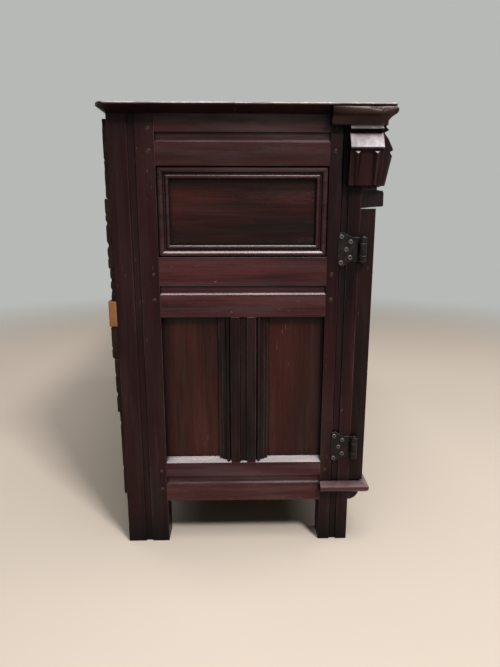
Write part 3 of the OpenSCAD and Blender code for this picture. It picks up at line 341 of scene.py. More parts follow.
# %% Tones of the slots
TONES = {
    # oak_frame: a strong painted highlight on the arrises, along with their wear
    "oak_frame": dict(dark=(0.0030, 0.0010, 0.0010), light=(0.026, 0.0054, 0.0064), wax=0.2,
                      specular=0.14, arris_wear_and_highlight=(0.16, 0.068, 0.070)),
    "oak_rail": dict(dark=(0.006, 0.0018, 0.0018), light=(0.070, 0.0150, 0.0178), wax=0.6,
                     specular=0.2),
    # oak_panel: the painted shade reaches further in from the frames round the panels
    "oak_panel": dict(dark=(0.0035, 0.0013, 0.0010), light=(0.062, 0.0095, 0.0060), wax=0.2,
                      shade_reach=0.17),
    "oak_inside": dict(dark=(0.055, 0.030, 0.018), light=(0.19, 0.115, 0.068), gloss=0.6,
                       wax=0.0, ledge_wax=0.0, arris_wear_and_highlight=(0.24, 0.16, 0.1),
                       ledge_dust_and_highlight=(0.16, 0.1, 0.06)),
    "oak_rough": dict(dark=(0.003, 0.0018, 0.0014), light=(0.026, 0.0140, 0.0095), gloss=0.62,
                      wax=0.0, ledge_wax=0.0, arris_wear_and_highlight=(0.040, 0.023, 0.016),
                      ledge_dust_and_highlight=(0.04, 0.027, 0.020), specular=0.08),
    "pine": dict(dark=(0.13, 0.052, 0.020), light=(0.30, 0.135, 0.055), gloss=0.55, wax=0.0,
                 ledge_wax=0.0, pits=0.0, arris_wear_and_highlight=(0.34, 0.17, 0.08),
                 corner_dark_colour=(0.08, 0.035, 0.016), ledge_dust_and_highlight=(0.32, 0.15, 0.06)),
}
# What differs in the nodes whose names start with these words
LOOKS = {
    # cornice: its nose lies under the top's lip, so its painted highlight is dim
    "cornice": dict(dark=(0.007, 0.0034, 0.0028), light=(0.058, 0.0230, 0.0175), ledge_wax=0.4,
                    ledge_dust_and_highlight=(0.06, 0.03, 0.025), wax=0.3),
    # end_bottom_rail: only the sill, not the bevel, gets the painted highlight
    "end_bottom_rail": dict(ledge_from=(0.715, 0.765)),
    "end_muntin": dict(corner_dark_colour=(0.015, 0.0085, 0.0100)),
    "waist": dict(dark=(0.003, 0.0014, 0.0012), light=(0.028, 0.0085, 0.0070), wax=0.3),
    "door_left_stiles": dict(light=(0.016, 0.0045, 0.0038)),
    "door_right_stiles": dict(light=(0.016, 0.0045, 0.0038)),
    # base: a painted highlight with the dust on the moulding's upper slope
    "base": dict(ledge_dust_and_highlight=(0.23, 0.095, 0.10), ledge_wax=0.7),
    # end_corbel: a bright painted highlight, a reflection, on its upper slope
    "end_corbel": dict(ledge_dust_and_highlight=(0.68, 0.54, 0.59)),
    # top_board: a painted highlight along the rounded upper arris
    "top_board": dict(ledge_dust_and_highlight=(0.42, 0.37, 0.35), ledge_wax=1.0, scratched=(0.06, 0.03, 0.03)),
}

# %% Finish for every wooden node
half_door = sum(corner.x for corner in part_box("door_left_stiles")) / 2
end_middle = sum(corner.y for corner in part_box("end_muntin_left")) / 2
SHIFT_PER_NODE = 0.37
# The axis along which the boards run, by words in a node's name; all others run along X
GRAIN = {
    "Z": ("post", "muntin", "end_lower_panels", "stiles", "centre_strip", "corbel", "button",
          "spindles"),
    "Y": ("end_top_rail", "end_mid_rail", "end_bottom_rail", "end_upper_panel", "return",
          "end_moulding", "floor_boards"),
}
# Where one board ends and the next begins: axis, place and jump in the pattern
JOINTS = {
    "end_lower_panels_left": [("Y", end_middle, 3.1)],
    "end_lower_panels_right": [("Y", end_middle, 2.3)],
    "door_left_stiles": [("X", half_door, 2.7)],
    "door_right_stiles": [("X", -half_door, 2.7)],
    "door_left_panels": [("X", half_door, 1.9)],
    "door_right_panels": [("X", -half_door, 1.4)],
    "shelf": board_joints("shelf", "Y"),
    "back_boards": board_joints("back_boards", "Z"),
    "floor_boards": board_joints("floor_boards", "X"),
}
slot_of = {part["node"]: part["material_slot"] for part in frame["record"]["subparts"]}


def grain_of(node):
    for grain, words in GRAIN.items():
        if any(word in node for word in words):
            return grain
    return "X"


def dress(thing, material):
    thing.data.materials.clear()
    thing.data.materials.append(material)


for number, node in enumerate(sorted(frame["nodes"])):
    if slot_of[node] in TONES:
        look = dict(TONES[slot_of[node]])
        for word in LOOKS:
            look.update(LOOKS[word] if node.startswith(word) else {})
        dress(frame["nodes"][node], oak(node + "_finish", grain_of(node),
                                        shift=SHIFT_PER_NODE * number,
                                        joints=JOINTS.get(node, ()), **look))
print("wooden nodes dressed:", sum(slot_of[n] in TONES for n in frame["nodes"]))

# %% [markdown]
# ## Iron
#
# The hinges and nails are wrought iron: black from the forge, brown with old rust in the
# hollows, and bright only where a hand or a door has rubbed them.


# %% Iron finish
IRON_ARRIS, IRON_CORNER, IRON_RELIEF = 0.0012, 0.005, 0.0008


def iron(name, black=(0.006, 0.0042, 0.0040), brown=(0.014, 0.0072, 0.0058),
         rubbed=(0.18, 0.15, 0.145), bare=0.1):
    material = bpy.data.materials.new(name)
    tree = empty_tree(material)
    place = object_place(tree)
    rounded, arris, corner = edges_and_corners(tree, IRON_ARRIS, IRON_CORNER)
    cloud = place.node("ShaderNodeTexNoise", inputs={
        "Vector": place, "Scale": 90.0, "Detail": 4.0, "Roughness": 0.6})
    hammer = place.node("ShaderNodeTexVoronoi", {"feature": "SMOOTH_F1"},
                        {"Vector": place, "Scale": 150.0, "Smoothness": 0.8})
    grit = place.node("ShaderNodeTexNoise", inputs={
        "Vector": place, "Scale": 900.0, "Detail": 3.0})
    rust = (cloud + corner * 0.2).rise(0.46, 0.66)
    colour = blend(rust, black, brown)
    colour = blend(arris * cloud.rise(0.35, 0.6), colour, rubbed)
    rough = 0.42 + rust * 0.2 - arris * 0.12 + (grit - 0.5) * 0.2
    metal = bare - rust * bare * 0.5 + arris * 0.5
    height = hammer * 0.8 + grit * 0.15
    bump = height.node("ShaderNodeBump", inputs={
        "Strength": 0.6, "Distance": IRON_RELIEF, "Height": height, "Normal": rounded})
    surface = add_node(tree, "ShaderNodeBsdfPrincipled", inputs={
        "Base Color": colour, "Roughness": rough, "Metallic": metal, "Normal": bump,
        "Specular IOR Level": 0.22})
    end_shader(tree, surface)
    return material


forged = iron("forged_iron")
polished = iron("rubbed_iron", black=(0.13, 0.11, 0.105), brown=(0.07, 0.05, 0.043),
                rubbed=(0.50, 0.46, 0.44), bare=0.8)
for node in frame["nodes"]:
    if slot_of[node] == "iron":
        dress(frame["nodes"][node], forged)

# %% [markdown]
# ## Tools for the modelled pieces
#
# A piece that takes over from a imported node rides the same body and wears the material it is
# given. An extra piece, such as the nail heads on the hinges, does so too but replaces nothing.


# %% Putting a piece in its place
FLAT_BELOW = 35.0
body_of = {node: body for body, nodes in frame["record"]["behaviour"]["bodies"].items()
           for node in nodes}


def add_object(name, data):
    thing = bpy.data.objects.new(name, data)
    bpy.context.collection.objects.link(thing)
    return thing


def put_in_place(name, mesh, node, material, takes_over=True):
    thing = add_object(name, mesh)
    dress(thing, material)
    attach(thing, body_of[node])
    if takes_over:
        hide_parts(node)


def smooth(mesh, angle=FLAT_BELOW):
    mesh.polygons.foreach_set("use_smooth", [True] * len(mesh.polygons))
    mesh.set_sharp_from_angle(angle=math.radians(angle))


# %% [markdown]
# ## Boards with a skin of points
#
# A sawn or worn board is a closed skin with a row of points every few millimetres, closer where
# the wear is. Each point is then moved by a rule. The rule only takes wood away, so the board
# never leaves the size that it was packed with.


# %% A board as a grid
SEED_STEP = 7.31


def spread(low, high, fine, coarse, edge):
    """Places from low to high: fine steps near both ends, coarse steps between."""
    count = max(1, round(edge / fine))
    ends = [low + edge * i / count for i in range(count)]
    middle = max(1, round((high - low - 2 * edge) / coarse))
    inside = [low + edge + (high - low - 2 * edge) * i / middle for i in range(middle + 1)]
    return ends + inside + [high + low - place for place in reversed(ends)]


def grid_board(work, places, wear):
    """Adds to a bmesh a closed board with points at the places on three axes."""
    corners = {}

    def corner(index):
        if index not in corners:
            corners[index] = work.verts.new(wear(Vector([places[i][index[i]] for i in range(3)])))
        return corners[index]

    faces = []
    for axis in range(3):
        u_axis, v_axis = [i for i in range(3) if i != axis]
        for side in (0, len(places[axis]) - 1):
            for u in range(len(places[u_axis]) - 1):
                for v in range(len(places[v_axis]) - 1):
                    ring = []
                    for du, dv in ((0, 0), (1, 0), (1, 1), (0, 1)):
                        index = [0, 0, 0]
                        index[axis], index[u_axis], index[v_axis] = side, u + du, v + dv
                        ring.append(corner(tuple(index)))
                    faces.append(work.faces.new(ring))
    bmesh.ops.recalc_face_normals(work, faces=faces)


def finished_mesh(name, work):
    mesh = bpy.data.meshes.new(name)
    work.to_mesh(mesh)
    work.free()
    smooth(mesh)
    return mesh


def finish_of(node):
    return bpy.data.materials[node + "_finish"]


def unit(value):
    return max(0.0, min(1.0, value))


def grain_noise(point, scale, seed):
    """Noise at a point, with so many bumps per metre on each axis."""
    return noise.noise(Vector([point[i] * scale[i] + seed * SEED_STEP for i in range(3)]))


# %% [markdown]
# ## The top
#
# Two boards make the top. Their edges are thin, because the underside is planed away at the ends
# and the back, and knocks have made that thin edge uneven. The rule first rounds the upper arris,
# then wears it down and bites small pieces out of it, and last rounds the corners of the plan.

# %% Sizes of the top
top_side, top_back, top_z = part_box("top_board_rear")[1]
top_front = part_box("top_board_front")[0].y
half_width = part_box("frieze_board")[1].x
frame_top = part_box("rear_post_left")[1].z
lip_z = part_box("cornice_front")[1].z
posts_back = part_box("rear_post_left")[1].y
posts_front, return_back = (corner.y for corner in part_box("front_post_left"))
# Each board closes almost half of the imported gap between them
SEAM = (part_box("top_board_rear")[0].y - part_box("top_board_front")[1].y) * 0.48
BACK_CORNER, FRONT_CORNER = 0.025, 0.008
ARRIS = 0.0038
# Rows of points: this far inside the edge, at these shares of the height, this far past a step
ARRIS_PLACES = (0.0006, 0.0016, 0.0026)
LEVELS = (0.0, 0.25, 0.45, 0.62, 0.78, 0.91, 1.0)
STEP = 0.0003
# The wear: how far it reaches in from the edge, and how deep it goes there
WEAR_REACH = 0.016
WORN_DOWN, WORN_UNEVEN, BITE_DOWN, BITE_UP = 0.0007, 0.0008, 0.0012, 0.0009
WORN_IN, BITE_IN, WAVE_IN = 0.0006, 0.0022, 0.0010


# %% Worn top boards
def round_arris(place):
    """Pulls a point at the upper arris of the top onto the quarter circle of the arris."""
    for axis, edge in ((0, top_side), (1, top_back if place.y > 0 else -top_front)):
        out, up = abs(place[axis]) - (edge - ARRIS), place.z - (top_z - ARRIS)
        reach = math.hypot(out, up)
        if out > 0 and up > 0 and reach > ARRIS:
            place[axis] = math.copysign(edge - ARRIS + out * ARRIS / reach, place[axis])
            place.z = top_z - ARRIS + up * ARRIS / reach


def round_plan(place):
    """Pulls a point beyond a rounded corner of the top's plan back onto the corner's arc."""
    radius = BACK_CORNER if place.y > 0 else FRONT_CORNER
    edge = top_back - radius if place.y > 0 else top_front + radius
    centre = Vector((math.copysign(top_side - radius, place.x), edge))
    out = Vector((abs(place.x) - abs(centre.x),
                  place.y - edge if place.y > 0 else edge - place.y))
    if out.x > 0 and out.y > 0 and out.length > radius:
        pulled = out * (radius / out.length)
        place.x = math.copysign(abs(centre.x) + pulled.x, place.x)
        place.y = edge + pulled.y if place.y > 0 else edge - pulled.y


def top_underside(x, y):
    """The height of the underside: down to the lip over the mouldings, thin at the edges."""
    out = max(0.0, abs(x) - half_width) / (top_side - half_width)
    back = max(0.0, y - posts_back) / (top_back - posts_back)
    if y < posts_front - STEP / 2 or (y < return_back - STEP / 2 and out > 0):
        return lip_z
    return frame_top + max(out, back) * (lip_z - frame_top)


def worn_top(node, seed):
    low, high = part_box(node)
    front = node.endswith("front")
    edge_x = [half_width, half_width + STEP]
    edge_x += [high.x - inside for inside in ARRIS_PLACES]
    xs = sorted(spread(low.x, high.x, fine=0.004, coarse=0.024, edge=0.036)
                + edge_x + [-x for x in edge_x])
    ys = spread(low.y, high.y, fine=0.004, coarse=0.016, edge=0.028)
    ys += [y for step in (posts_front, return_back, posts_back) for y in (step, step - STEP)
           if low.y < y < high.y]
    ys = sorted(ys + [low.y + inside if front else high.y - inside for inside in ARRIS_PLACES])
    zs = [frame_top + level * (top_z - frame_top) for level in LEVELS]

    def wear(point):
        base = top_underside(point.x, point.y)
        share = (point.z - frame_top) / (top_z - frame_top)
        place = Vector((point.x, point.y, base + share * (top_z - base)))
        round_arris(place)
        outer = min(high.x - abs(point.x), point.y - low.y if front else high.y - point.y)
        near = unit(1 - outer / WEAR_REACH)
        bite = unit(grain_noise(point, (34, 34, 5), seed) * 2.2 - 0.55) * near
        if share > 0.5:
            uneven = grain_noise(point, (9, 9, 0), seed) + 0.5
            place.z -= near ** 2 * (WORN_DOWN + WORN_UNEVEN * uneven)
            place.z -= bite * BITE_DOWN
        else:
            place.z += bite * BITE_UP * near
        wave = unit(grain_noise(point, (16, 16, 0), seed + 3) + 0.4)
        inward = near * (WORN_IN + BITE_IN * bite + WAVE_IN * wave)
        if abs(point.x) > half_width:
            place.x -= math.copysign(inward, point.x)
        if outer < WEAR_REACH and abs(point.x) < high.x - WEAR_REACH:
            place.y += inward if front else -inward
        if abs(point.y - (high.y if front else low.y)) < STEP:
            place.y += SEAM if front else -SEAM
        round_plan(place)
        return place

    work = bmesh.new()
    grid_board(work, (xs, ys, zs), wear)
    put_in_place(node + "_worn", finished_mesh(node + "_worn", work), node, finish_of(node))
    print(node, "points", len(xs) * len(ys))


worn_top("top_board_front", seed=1)
worn_top("top_board_rear", seed=2)

# %% [markdown]
# ## The back
#
# The back is boarded across with whatever was at hand: thick and thin boards, straight from the
# saw. Their ends are torn and notched where they were split to length and knocked about. Only
# the outer face and the ends are cut into, so the boards still lie flat on the posts.


# %% Ragged back boards
END_REACH, RIM_REACH = 0.035, 0.003
# Depths as shares of a board's thickness, and how far an end is torn away
SAWN, TORN, SPLIT, RIM = 0.04, 0.20, 0.12, 0.12
END_LOSS = 0.002
SAW_MARKS = 900


def ragged_board(work, box, seed):
    low, high = box
    deep = high.y - low.y
    xs = spread(low.x, high.x, fine=0.003, coarse=0.03, edge=0.045)
    zs = spread(low.z, high.z, fine=0.003, coarse=0.003, edge=0.0)
    ys = [low.y, low.y + deep * 0.5, high.y]

    def wear(point):
        place = point.copy()
        share = (point.y - low.y) / deep
        end = unit(1 - (min(high.x - point.x, point.x - low.x)) / END_REACH)
        torn = unit(grain_noise(point, (6, 0, 95), seed) * 3.2 - 0.9)
        split = unit(grain_noise(point, (3, 0, 45), seed + 5) * 3.0 - 1.1)
        saw = 0.5 + 0.5 * math.sin(point.x * SAW_MARKS
                                   + 4 * grain_noise(point, (8, 0, 8), seed))
        place.y -= share * deep * (SAWN * saw + end * (TORN * torn + SPLIT * split))
        place.x -= math.copysign(end * END_LOSS * (torn * share + 0.6 * split), point.x)
        rim = unit(1 - min(high.z - point.z, point.z - low.z) / RIM_REACH)
        rough = unit(grain_noise(point, (14, 0, 3), seed + 9) + 0.4)
        place.y -= share * deep * RIM * rim * rough
        return place

    grid_board(work, (xs, ys, zs), wear)


work = bmesh.new()
back_boxes = solid_boxes("back_boards")
for number, box in enumerate(back_boxes):
    ragged_board(work, box, seed=11 + number)
put_in_place("back_boards_ragged", finished_mesh("back_boards_ragged", work), "back_boards",
             finish_of("back_boards"))
print("back boards:", len(back_boxes))

# %% [markdown]
# ## A bruise in the cornice
#
# A knock has crushed the nose of the cornice at the left-hand end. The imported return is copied,
# cut across in many places there, and its points are pushed in.


# %% Bruised cornice return
BRUISE_FROM_FRONT, BRUISE_LENGTH = 0.031, 0.024
BRUISE_REACH, BRUISE_DEPTH = 0.0065, 0.0026
# Its heart lies this far inside the nose and below the top, and sinks as much more at one end
HEART_INSIDE, HEART_BELOW = 0.001, 0.0035
# It fades out over this share of its length at both ends
FADE = 0.2
CUTS, CUTS_BEYOND = 20, 4


def bruised_return(node):
    work = merged_copy(node)
    low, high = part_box(node)
    start = low.y + BRUISE_FROM_FRONT - BRUISE_LENGTH / 2
    for cut in range(-CUTS_BEYOND, CUTS + CUTS_BEYOND + 1):
        bmesh.ops.bisect_plane(work, geom=work.verts[:] + work.edges[:] + work.faces[:],
                               plane_co=(0, start + BRUISE_LENGTH * cut / CUTS, 0),
                               plane_no=(0, 1, 0))
    for point in work.verts:
        along = (point.co.y - start) / BRUISE_LENGTH
        if -FADE < along < 1 + FADE:
            heart = Vector((low.x + HEART_INSIDE, point.co.y,
                            high.z - HEART_BELOW - HEART_BELOW * (1 - along)))
            near = unit(1 - (point.co - heart).length / BRUISE_REACH)
            rough = 0.7 + 0.6 * grain_noise(point.co, (260, 260, 260), 4)
            ends = unit(4 * min(along + FADE, 1 + FADE - along))
            point.co += Vector((1, 0, -0.5)) * near * ends * rough * BRUISE_DEPTH
    bmesh.ops.triangulate(work, faces=work.faces[:])
    put_in_place(node + "_bruised", finished_mesh(node + "_bruised", work), node,
                 finish_of(node))


bruised_return("cornice_return_left")

# %% [markdown]
# ## Geometry Nodes for what repeats
#
# Nails, pegs and spindles each follow one rule with small differences. A geometry tree holds the
# rule, its inputs hold the sizes, and a seed holds the differences. The result is turned into a
# plain mesh, so that it can ride its body.


# %% Building and using a geometry tree
FLAT_BELOW_GROWN = 40.0


def geometry_tree(name, numbers):
    """A tree with geometry in and out and the named numbers as inputs."""
    tree = bpy.data.node_groups.new(name, "GeometryNodeTree")
    tree.interface.new_socket("Geometry", in_out="INPUT", socket_type="NodeSocketGeometry")
    tree.interface.new_socket("Geometry", in_out="OUTPUT", socket_type="NodeSocketGeometry")
    for label in numbers:
        kind = "NodeSocketInt" if label == "Seed" else "NodeSocketFloat"
        tree.interface.new_socket(label, in_out="INPUT", socket_type=kind)
    entry = tree.nodes.new("NodeGroupInput")
    return tree, {label: Value(tree, entry.outputs[label]) for label in ["Geometry", *numbers]}


def end_tree(tree, geometry, material):
    """Realizes the instances, sets the material and joins the tree's output."""
    real = add_node(tree, "GeometryNodeRealizeInstances", inputs={0: geometry})
    done = add_node(tree, "GeometryNodeSetMaterial", inputs={"Geometry": real,
                                                            "Material": material})
    tree.links.new(done.socket, tree.nodes.new("NodeGroupOutput").inputs[0])


def grow(name, tree, points, aims, numbers):
    """Runs a tree on loose points, each with a direction, and returns a plain mesh."""
    seeds = bpy.data.meshes.new(name + "_points")
    seeds.from_pydata(points, [], [])
    aim = seeds.attributes.new("aim", "FLOAT_VECTOR", "POINT")
    aim.data.foreach_set("vector", [value for direction in aims for value in direction])
    holder = add_object(name + "_points", seeds)
    modifier = holder.modifiers.new("grow", "NODES")
    modifier.node_group = tree
    for item in tree.interface.items_tree:
        if item.item_type == "SOCKET" and item.name in numbers:
            modifier[item.identifier] = numbers[item.name]
    ready = holder.evaluated_get(bpy.context.evaluated_depsgraph_get())
    mesh = bpy.data.meshes.new_from_object(ready)
    mesh.name = name
    bpy.data.objects.remove(holder)
    smooth(mesh, FLAT_BELOW_GROWN)
    return mesh


def place_on_points(tree, points, thing, seed, smallest=1.0):
    """Instances with their Z along the point's aim, each turned and scaled down a little."""
    aim = add_node(tree, "GeometryNodeInputNamedAttribute", {"data_type": "FLOAT_VECTOR"},
                   {"Name": "aim"})
    facing = add_node(tree, "FunctionNodeAlignRotationToVector", {"axis": "Z"}, {"Vector": aim})
    spin = add_node(tree, "FunctionNodeRandomValue", {"data_type": "FLOAT"},
                    {2: 0.0, 3: math.tau, "Seed": seed}, out=1)
    about = add_node(tree, "ShaderNodeCombineXYZ", inputs={2: spin})
    turned = add_node(tree, "FunctionNodeRotateRotation", {"rotation_space": "LOCAL"},
                      {0: facing, 1: add_node(tree, "FunctionNodeEulerToRotation",
                                              inputs={0: about})})
    size = add_node(tree, "FunctionNodeRandomValue", {"data_type": "FLOAT"},
                    {2: smallest, 3: 1.0, "Seed": seed + 7}, out=1)
    return add_node(tree, "GeometryNodeInstanceOnPoints", inputs={
        "Points": points, "Instance": thing, "Rotation": turned, "Scale": size})


def hammered(tree, geometry, amount, scale, seed):
    """Moves a mesh's points inwards by noise, as blows or a knife would."""
    place = add_node(tree, "GeometryNodeInputPosition")
    offset = add_node(tree, "ShaderNodeTexNoise", {"noise_dimensions": "4D"}, {
        "Vector": place, "W": seed * 3.7, "Scale": scale, "Detail": 1.0})
    normal = add_node(tree, "GeometryNodeInputNormal")
    push = add_node(tree, "ShaderNodeVectorMath", {"operation": "SCALE"},
                    {0: normal, "Scale": offset * (amount * -1)})
    return add_node(tree, "GeometryNodeSetPosition", inputs={"Geometry": geometry,
                                                             "Offset": push})


# %% [markdown]
# ### Nails
#
# A hand-made nail has a rose head: a few hammer facets that rise to a small flat, over a tapered
# square shank.

# %% Rose-head nails
def nail_tree(material):
    tree, inputs = geometry_tree("rose_nails", ["Radius", "Length", "Seed"])
    radius, length, seed = inputs["Radius"], inputs["Length"], inputs["Seed"]
    head = add_node(tree, "GeometryNodeMeshCone", inputs={
        "Vertices": 11, "Side Segments": 3, "Radius Top": radius * 0.34,
        "Radius Bottom": radius, "Depth": radius * 0.5})
    head = hammered(tree, head, radius * 0.22, 700.0, seed)
    shank = add_node(tree, "GeometryNodeMeshCone", inputs={
        "Vertices": 4, "Side Segments": 6, "Radius Top": radius * 0.36,
        "Radius Bottom": radius * 0.08, "Depth": length})
    down = add_node(tree, "ShaderNodeCombineXYZ", inputs={2: length * -1})
    shank = add_node(tree, "GeometryNodeTransform", inputs={0: shank, "Translation": down})
    both = tree.nodes.new("GeometryNodeJoinGeometry")
    for part in (head, shank):
        tree.links.new(part.socket, both.inputs[0])
    placed = place_on_points(tree, inputs["Geometry"], Value(tree, both.outputs[0]), seed,
                             smallest=0.86)
    end_tree(tree, placed, material)
    return tree


NAIL_RADIUS, NAIL_LENGTH = 0.003, 0.019
nail_points, nail_aims = [], []
for low, high in solid_boxes("board_nails"):
    middle = (low + high) / 2
    if high.z - low.z > high.y - low.y:
        nail_points.append(Vector((middle.x, middle.y, high.z - NAIL_RADIUS / 2)))
        nail_aims.append((0, 0, 1))
    else:
        nail_points.append(Vector((middle.x, high.y - NAIL_RADIUS / 2, middle.z)))
        nail_aims.append((0, 1, 0))
nails = grow("board_nails_forged", nail_tree(forged), nail_points, nail_aims,
             {"Radius": NAIL_RADIUS, "Length": NAIL_LENGTH, "Seed": 5})
put_in_place("board_nails_forged", nails, "board_nails", forged)
print("nails:", len(nail_points))

# %% [markdown]
# ### Nail heads on the hinges
#
# The nails that hold the hinges have broad heads, dished by the hammer: each shows as a bright
# ring on the black leaf.


# %% Broad heads
HEAD_RADIUS, HEAD_HEIGHT, HEAD_SIDES = 0.0043, 0.0014, 14
# Shares of that radius and height, from the dished middle to the rim
HEAD_SHAPE = ((0.0, 0.45), (0.3, 0.5), (0.55, 0.9), (0.72, 1.0), (0.88, 0.75), (1.0, 0.1))
LEAF_LENGTH, LEAF_THICK = 0.043, 0.0016
# Each nail: a share of the leaf's length from the pin, and metres above the leaf's middle
LEAF_NAILS = ((0.50, 0.0136), (0.67, 0.0), (0.50, -0.0145), (0.88, 0.0223), (0.88, -0.0236))


def broad_head(work, centre, along, across, seed):
    """A dished nail head: rings of points about the direction across x along."""
    out, rings = along.cross(across), []
    for radius, height in HEAD_SHAPE:
        ring = []
        for side in range(1 if radius == 0 else HEAD_SIDES):
            turn = math.tau * side / HEAD_SIDES
            spoke = along * math.cos(turn) + across * math.sin(turn)
            rough = 1 + 0.12 * noise.noise(spoke * 1.6 + Vector((seed, 0, 0)))
            ring.append(work.verts.new(centre + spoke * radius * rough * HEAD_RADIUS
                                       + out * height * HEAD_HEIGHT * (2 - rough)))
        rings.append(ring)
    for inner, outer in zip(rings, rings[1:]):
        for side in range(HEAD_SIDES):
            after = (side + 1) % HEAD_SIDES
            near = [inner[side], inner[after]] if len(inner) > 1 else inner
            work.faces.new([*near, outer[after], outer[side]])
    work.faces.new(rings[-1])


work = bmesh.new()
axis_y = sum(corner.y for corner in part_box("hinge_pins")) / 2
for low, high in solid_boxes("post_hinge_leaves"):
    side = math.copysign(1, high.x)
    face = side * (half_width + LEAF_THICK)
    for number, (share, height) in enumerate(LEAF_NAILS):
        centre = Vector((face, axis_y + share * LEAF_LENGTH, (low.z + high.z) / 2 + height))
        broad_head(work, centre, Vector((0, side, 0)), Vector((0, 0, 1)), number + 9 * low.z)
bmesh.ops.recalc_face_normals(work, faces=work.faces)
put_in_place("hinge_nail_heads", finished_mesh("hinge_nail_heads", work), "post_hinge_leaves",
             polished, takes_over=False)

# %% [markdown]
# ### Pegs
#
# The pegs were riven, not turned, so their heads are rough polygons. The wood round them has
# shrunk, and some stand a little proud.


# %% Riven pegs
def peg_tree(material):
    tree, inputs = geometry_tree("riven_pegs", ["Radius", "Length", "Seed"])
    radius, seed = inputs["Radius"], inputs["Seed"]
    peg = add_node(tree, "GeometryNodeMeshCone", inputs={
        "Vertices": 9, "Side Segments": 8, "Radius Top": radius, "Radius Bottom": radius * 0.8,
        "Depth": inputs["Length"]})
    peg = hammered(tree, peg, radius * 0.16, 260.0, seed)
    placed = place_on_points(tree, inputs["Geometry"], peg, seed)
    end_tree(tree, placed, material)
    return tree


def outward(low, high):
    """The direction in which a peg's head looks, and the middle of its inner end."""
    middle = (low + high) / 2
    if high.x - low.x > high.y - low.y:
        side = math.copysign(1, middle.x)
        return (side, 0, 0), Vector((low.x if side > 0 else high.x, middle.y, middle.z))
    side = math.copysign(1, middle.y)
    return (0, side, 0), Vector((middle.x, low.y if side > 0 else high.y, middle.z))


PEG_RADIUS = 0.0035
peg_finish = oak("frame_pegs_finish_split", "X", dark=(0.020, 0.010, 0.008),
                 light=(0.075, 0.038, 0.028), shift=4.4, wax=0.1, pits=0.2)
pegs_by_length = {}
for low, high in solid_boxes("frame_pegs"):
    length = round(max(high[i] - low[i] for i in range(3)), 4)
    pegs_by_length.setdefault(length, []).append(outward(low, high))
work = bmesh.new()
for number, (length, pegs) in enumerate(sorted(pegs_by_length.items())):
    aims, feet = zip(*pegs)
    work.from_mesh(grow("pegs", peg_tree(peg_finish), feet, aims,
                        {"Radius": PEG_RADIUS, "Length": length, "Seed": 21 + number}))
put_in_place("frame_pegs_riven", finished_mesh("frame_pegs_riven", work), "frame_pegs",
             peg_finish)
print("pegs:", sum(len(pegs) for pegs in pegs_by_length.values()))

# %% [markdown]
# ### Spindles
#
# The spindles let air to the food. They were turned on a pole lathe: a square-shouldered block
# at each end, then rings, and a long vase shape on both sides of the middle ring. A curve holds
# the radius from one end to the middle, and the other half mirrors it.

# %% Turned spindles
# Share of the length, share of the radius, and the kind of bend there
SPINDLE_SHAPE = [
    (0.00, 1.00, "VECTOR"), (0.095, 1.00, "VECTOR"), (0.105, 0.86, "VECTOR"),
    (0.125, 0.80, "AUTO"), (0.135, 0.52, "VECTOR"), (0.150, 0.74, "AUTO"),
    (0.165, 0.52, "VECTOR"), (0.185, 0.50, "AUTO"), (0.300, 0.72, "AUTO"),
    (0.400, 1.00, "AUTO"), (0.440, 0.92, "AUTO"), (0.462, 0.60, "VECTOR"),
    (0.480, 0.60, "AUTO"), (0.500, 0.78, "AUTO")]


def spindle_tree(material):
    tree, inputs = geometry_tree("turned_spindles", ["Radius", "Length", "Seed"])
    top = add_node(tree, "ShaderNodeCombineXYZ", inputs={2: inputs["Length"]})
    line = add_node(tree, "GeometryNodeCurvePrimitiveLine", inputs={"End": top})
    line = add_node(tree, "GeometryNodeResampleCurve", inputs={"Curve": line, "Count": 150})
    along = add_node(tree, "GeometryNodeSplineParameter")
    half = 0.5 - add_node(tree, "ShaderNodeMath", {"operation": "ABSOLUTE"}, {0: along - 0.5})
    shape = tree.nodes.new("ShaderNodeFloatCurve")
    curve = shape.mapping.curves[0]
    curve.points[0].location = SPINDLE_SHAPE[0][:2]
    curve.points[1].location = SPINDLE_SHAPE[-1][:2]
    for place, width, handle in SPINDLE_SHAPE[1:-1]:
        curve.points.new(place, width).handle_type = handle
    shape.mapping.update()
    tree.links.new(half.socket, shape.inputs["Value"])
    width = Value(tree, shape.outputs[0]) * inputs["Radius"]
    ring = add_node(tree, "GeometryNodeCurvePrimitiveCircle", inputs={"Resolution": 28,
                                                                      "Radius": 1.0})
    body = add_node(tree, "GeometryNodeCurveToMesh", inputs={
        "Curve": line, "Profile Curve": ring, "Scale": width, "Fill Caps": True})
    placed = place_on_points(tree, inputs["Geometry"], body, inputs["Seed"])
    end_tree(tree, placed, material)
    return tree


TENON_LENGTH = 0.010
for side in ("left", "right"):
    node = "door_" + side + "_spindles"
    boxes = solid_boxes(node)
    feet = [Vector(((low.x + high.x) / 2, (low.y + high.y) / 2, low.z + TENON_LENGTH))
            for low, high in boxes]
    low, high = boxes[0]
    sizes = {"Radius": (high.x - low.x) / 2, "Length": high.z - low.z - 2 * TENON_LENGTH,
             "Seed": 3}
    turned = grow(node + "_turned", spindle_tree(finish_of(node)), feet, [(0, 0, 1)] * len(feet),
                  sizes)
    put_in_place(node + "_turned", turned, node, finish_of(node))
    print(node, len(feet), "radius", round(sizes["Radius"], 4))

# %% [markdown]
# ## Floor, light and camera
#
# A plain pale floor carries the cupboard and keeps its shadow. Further out it passes into pale
# air, which only the camera and reflections see, so the picture is pale from every side without
# more light. The main lamp hangs high before the end, a little to the front, so that the top's
# overhang throws a dark band. A wide one above the end makes every upward slope shine, and two
# weak ones let the front and the back be read.

# %% Studio
AIR_COLOUR = (0.94, 0.97, 0.93, 1.0)
AIR_STRENGTH, AIR_LIGHT = 0.50, 0.08
FLOOR_COLOUR = (0.50, 0.425, 0.355, 1.0)
FLOOR_SIZE, FLOOR_GAP = 30.0, 0.0005
# Distances from the middle between which the floor passes into air
FADE_FROM, FADE_TO = 1.5, 3.1
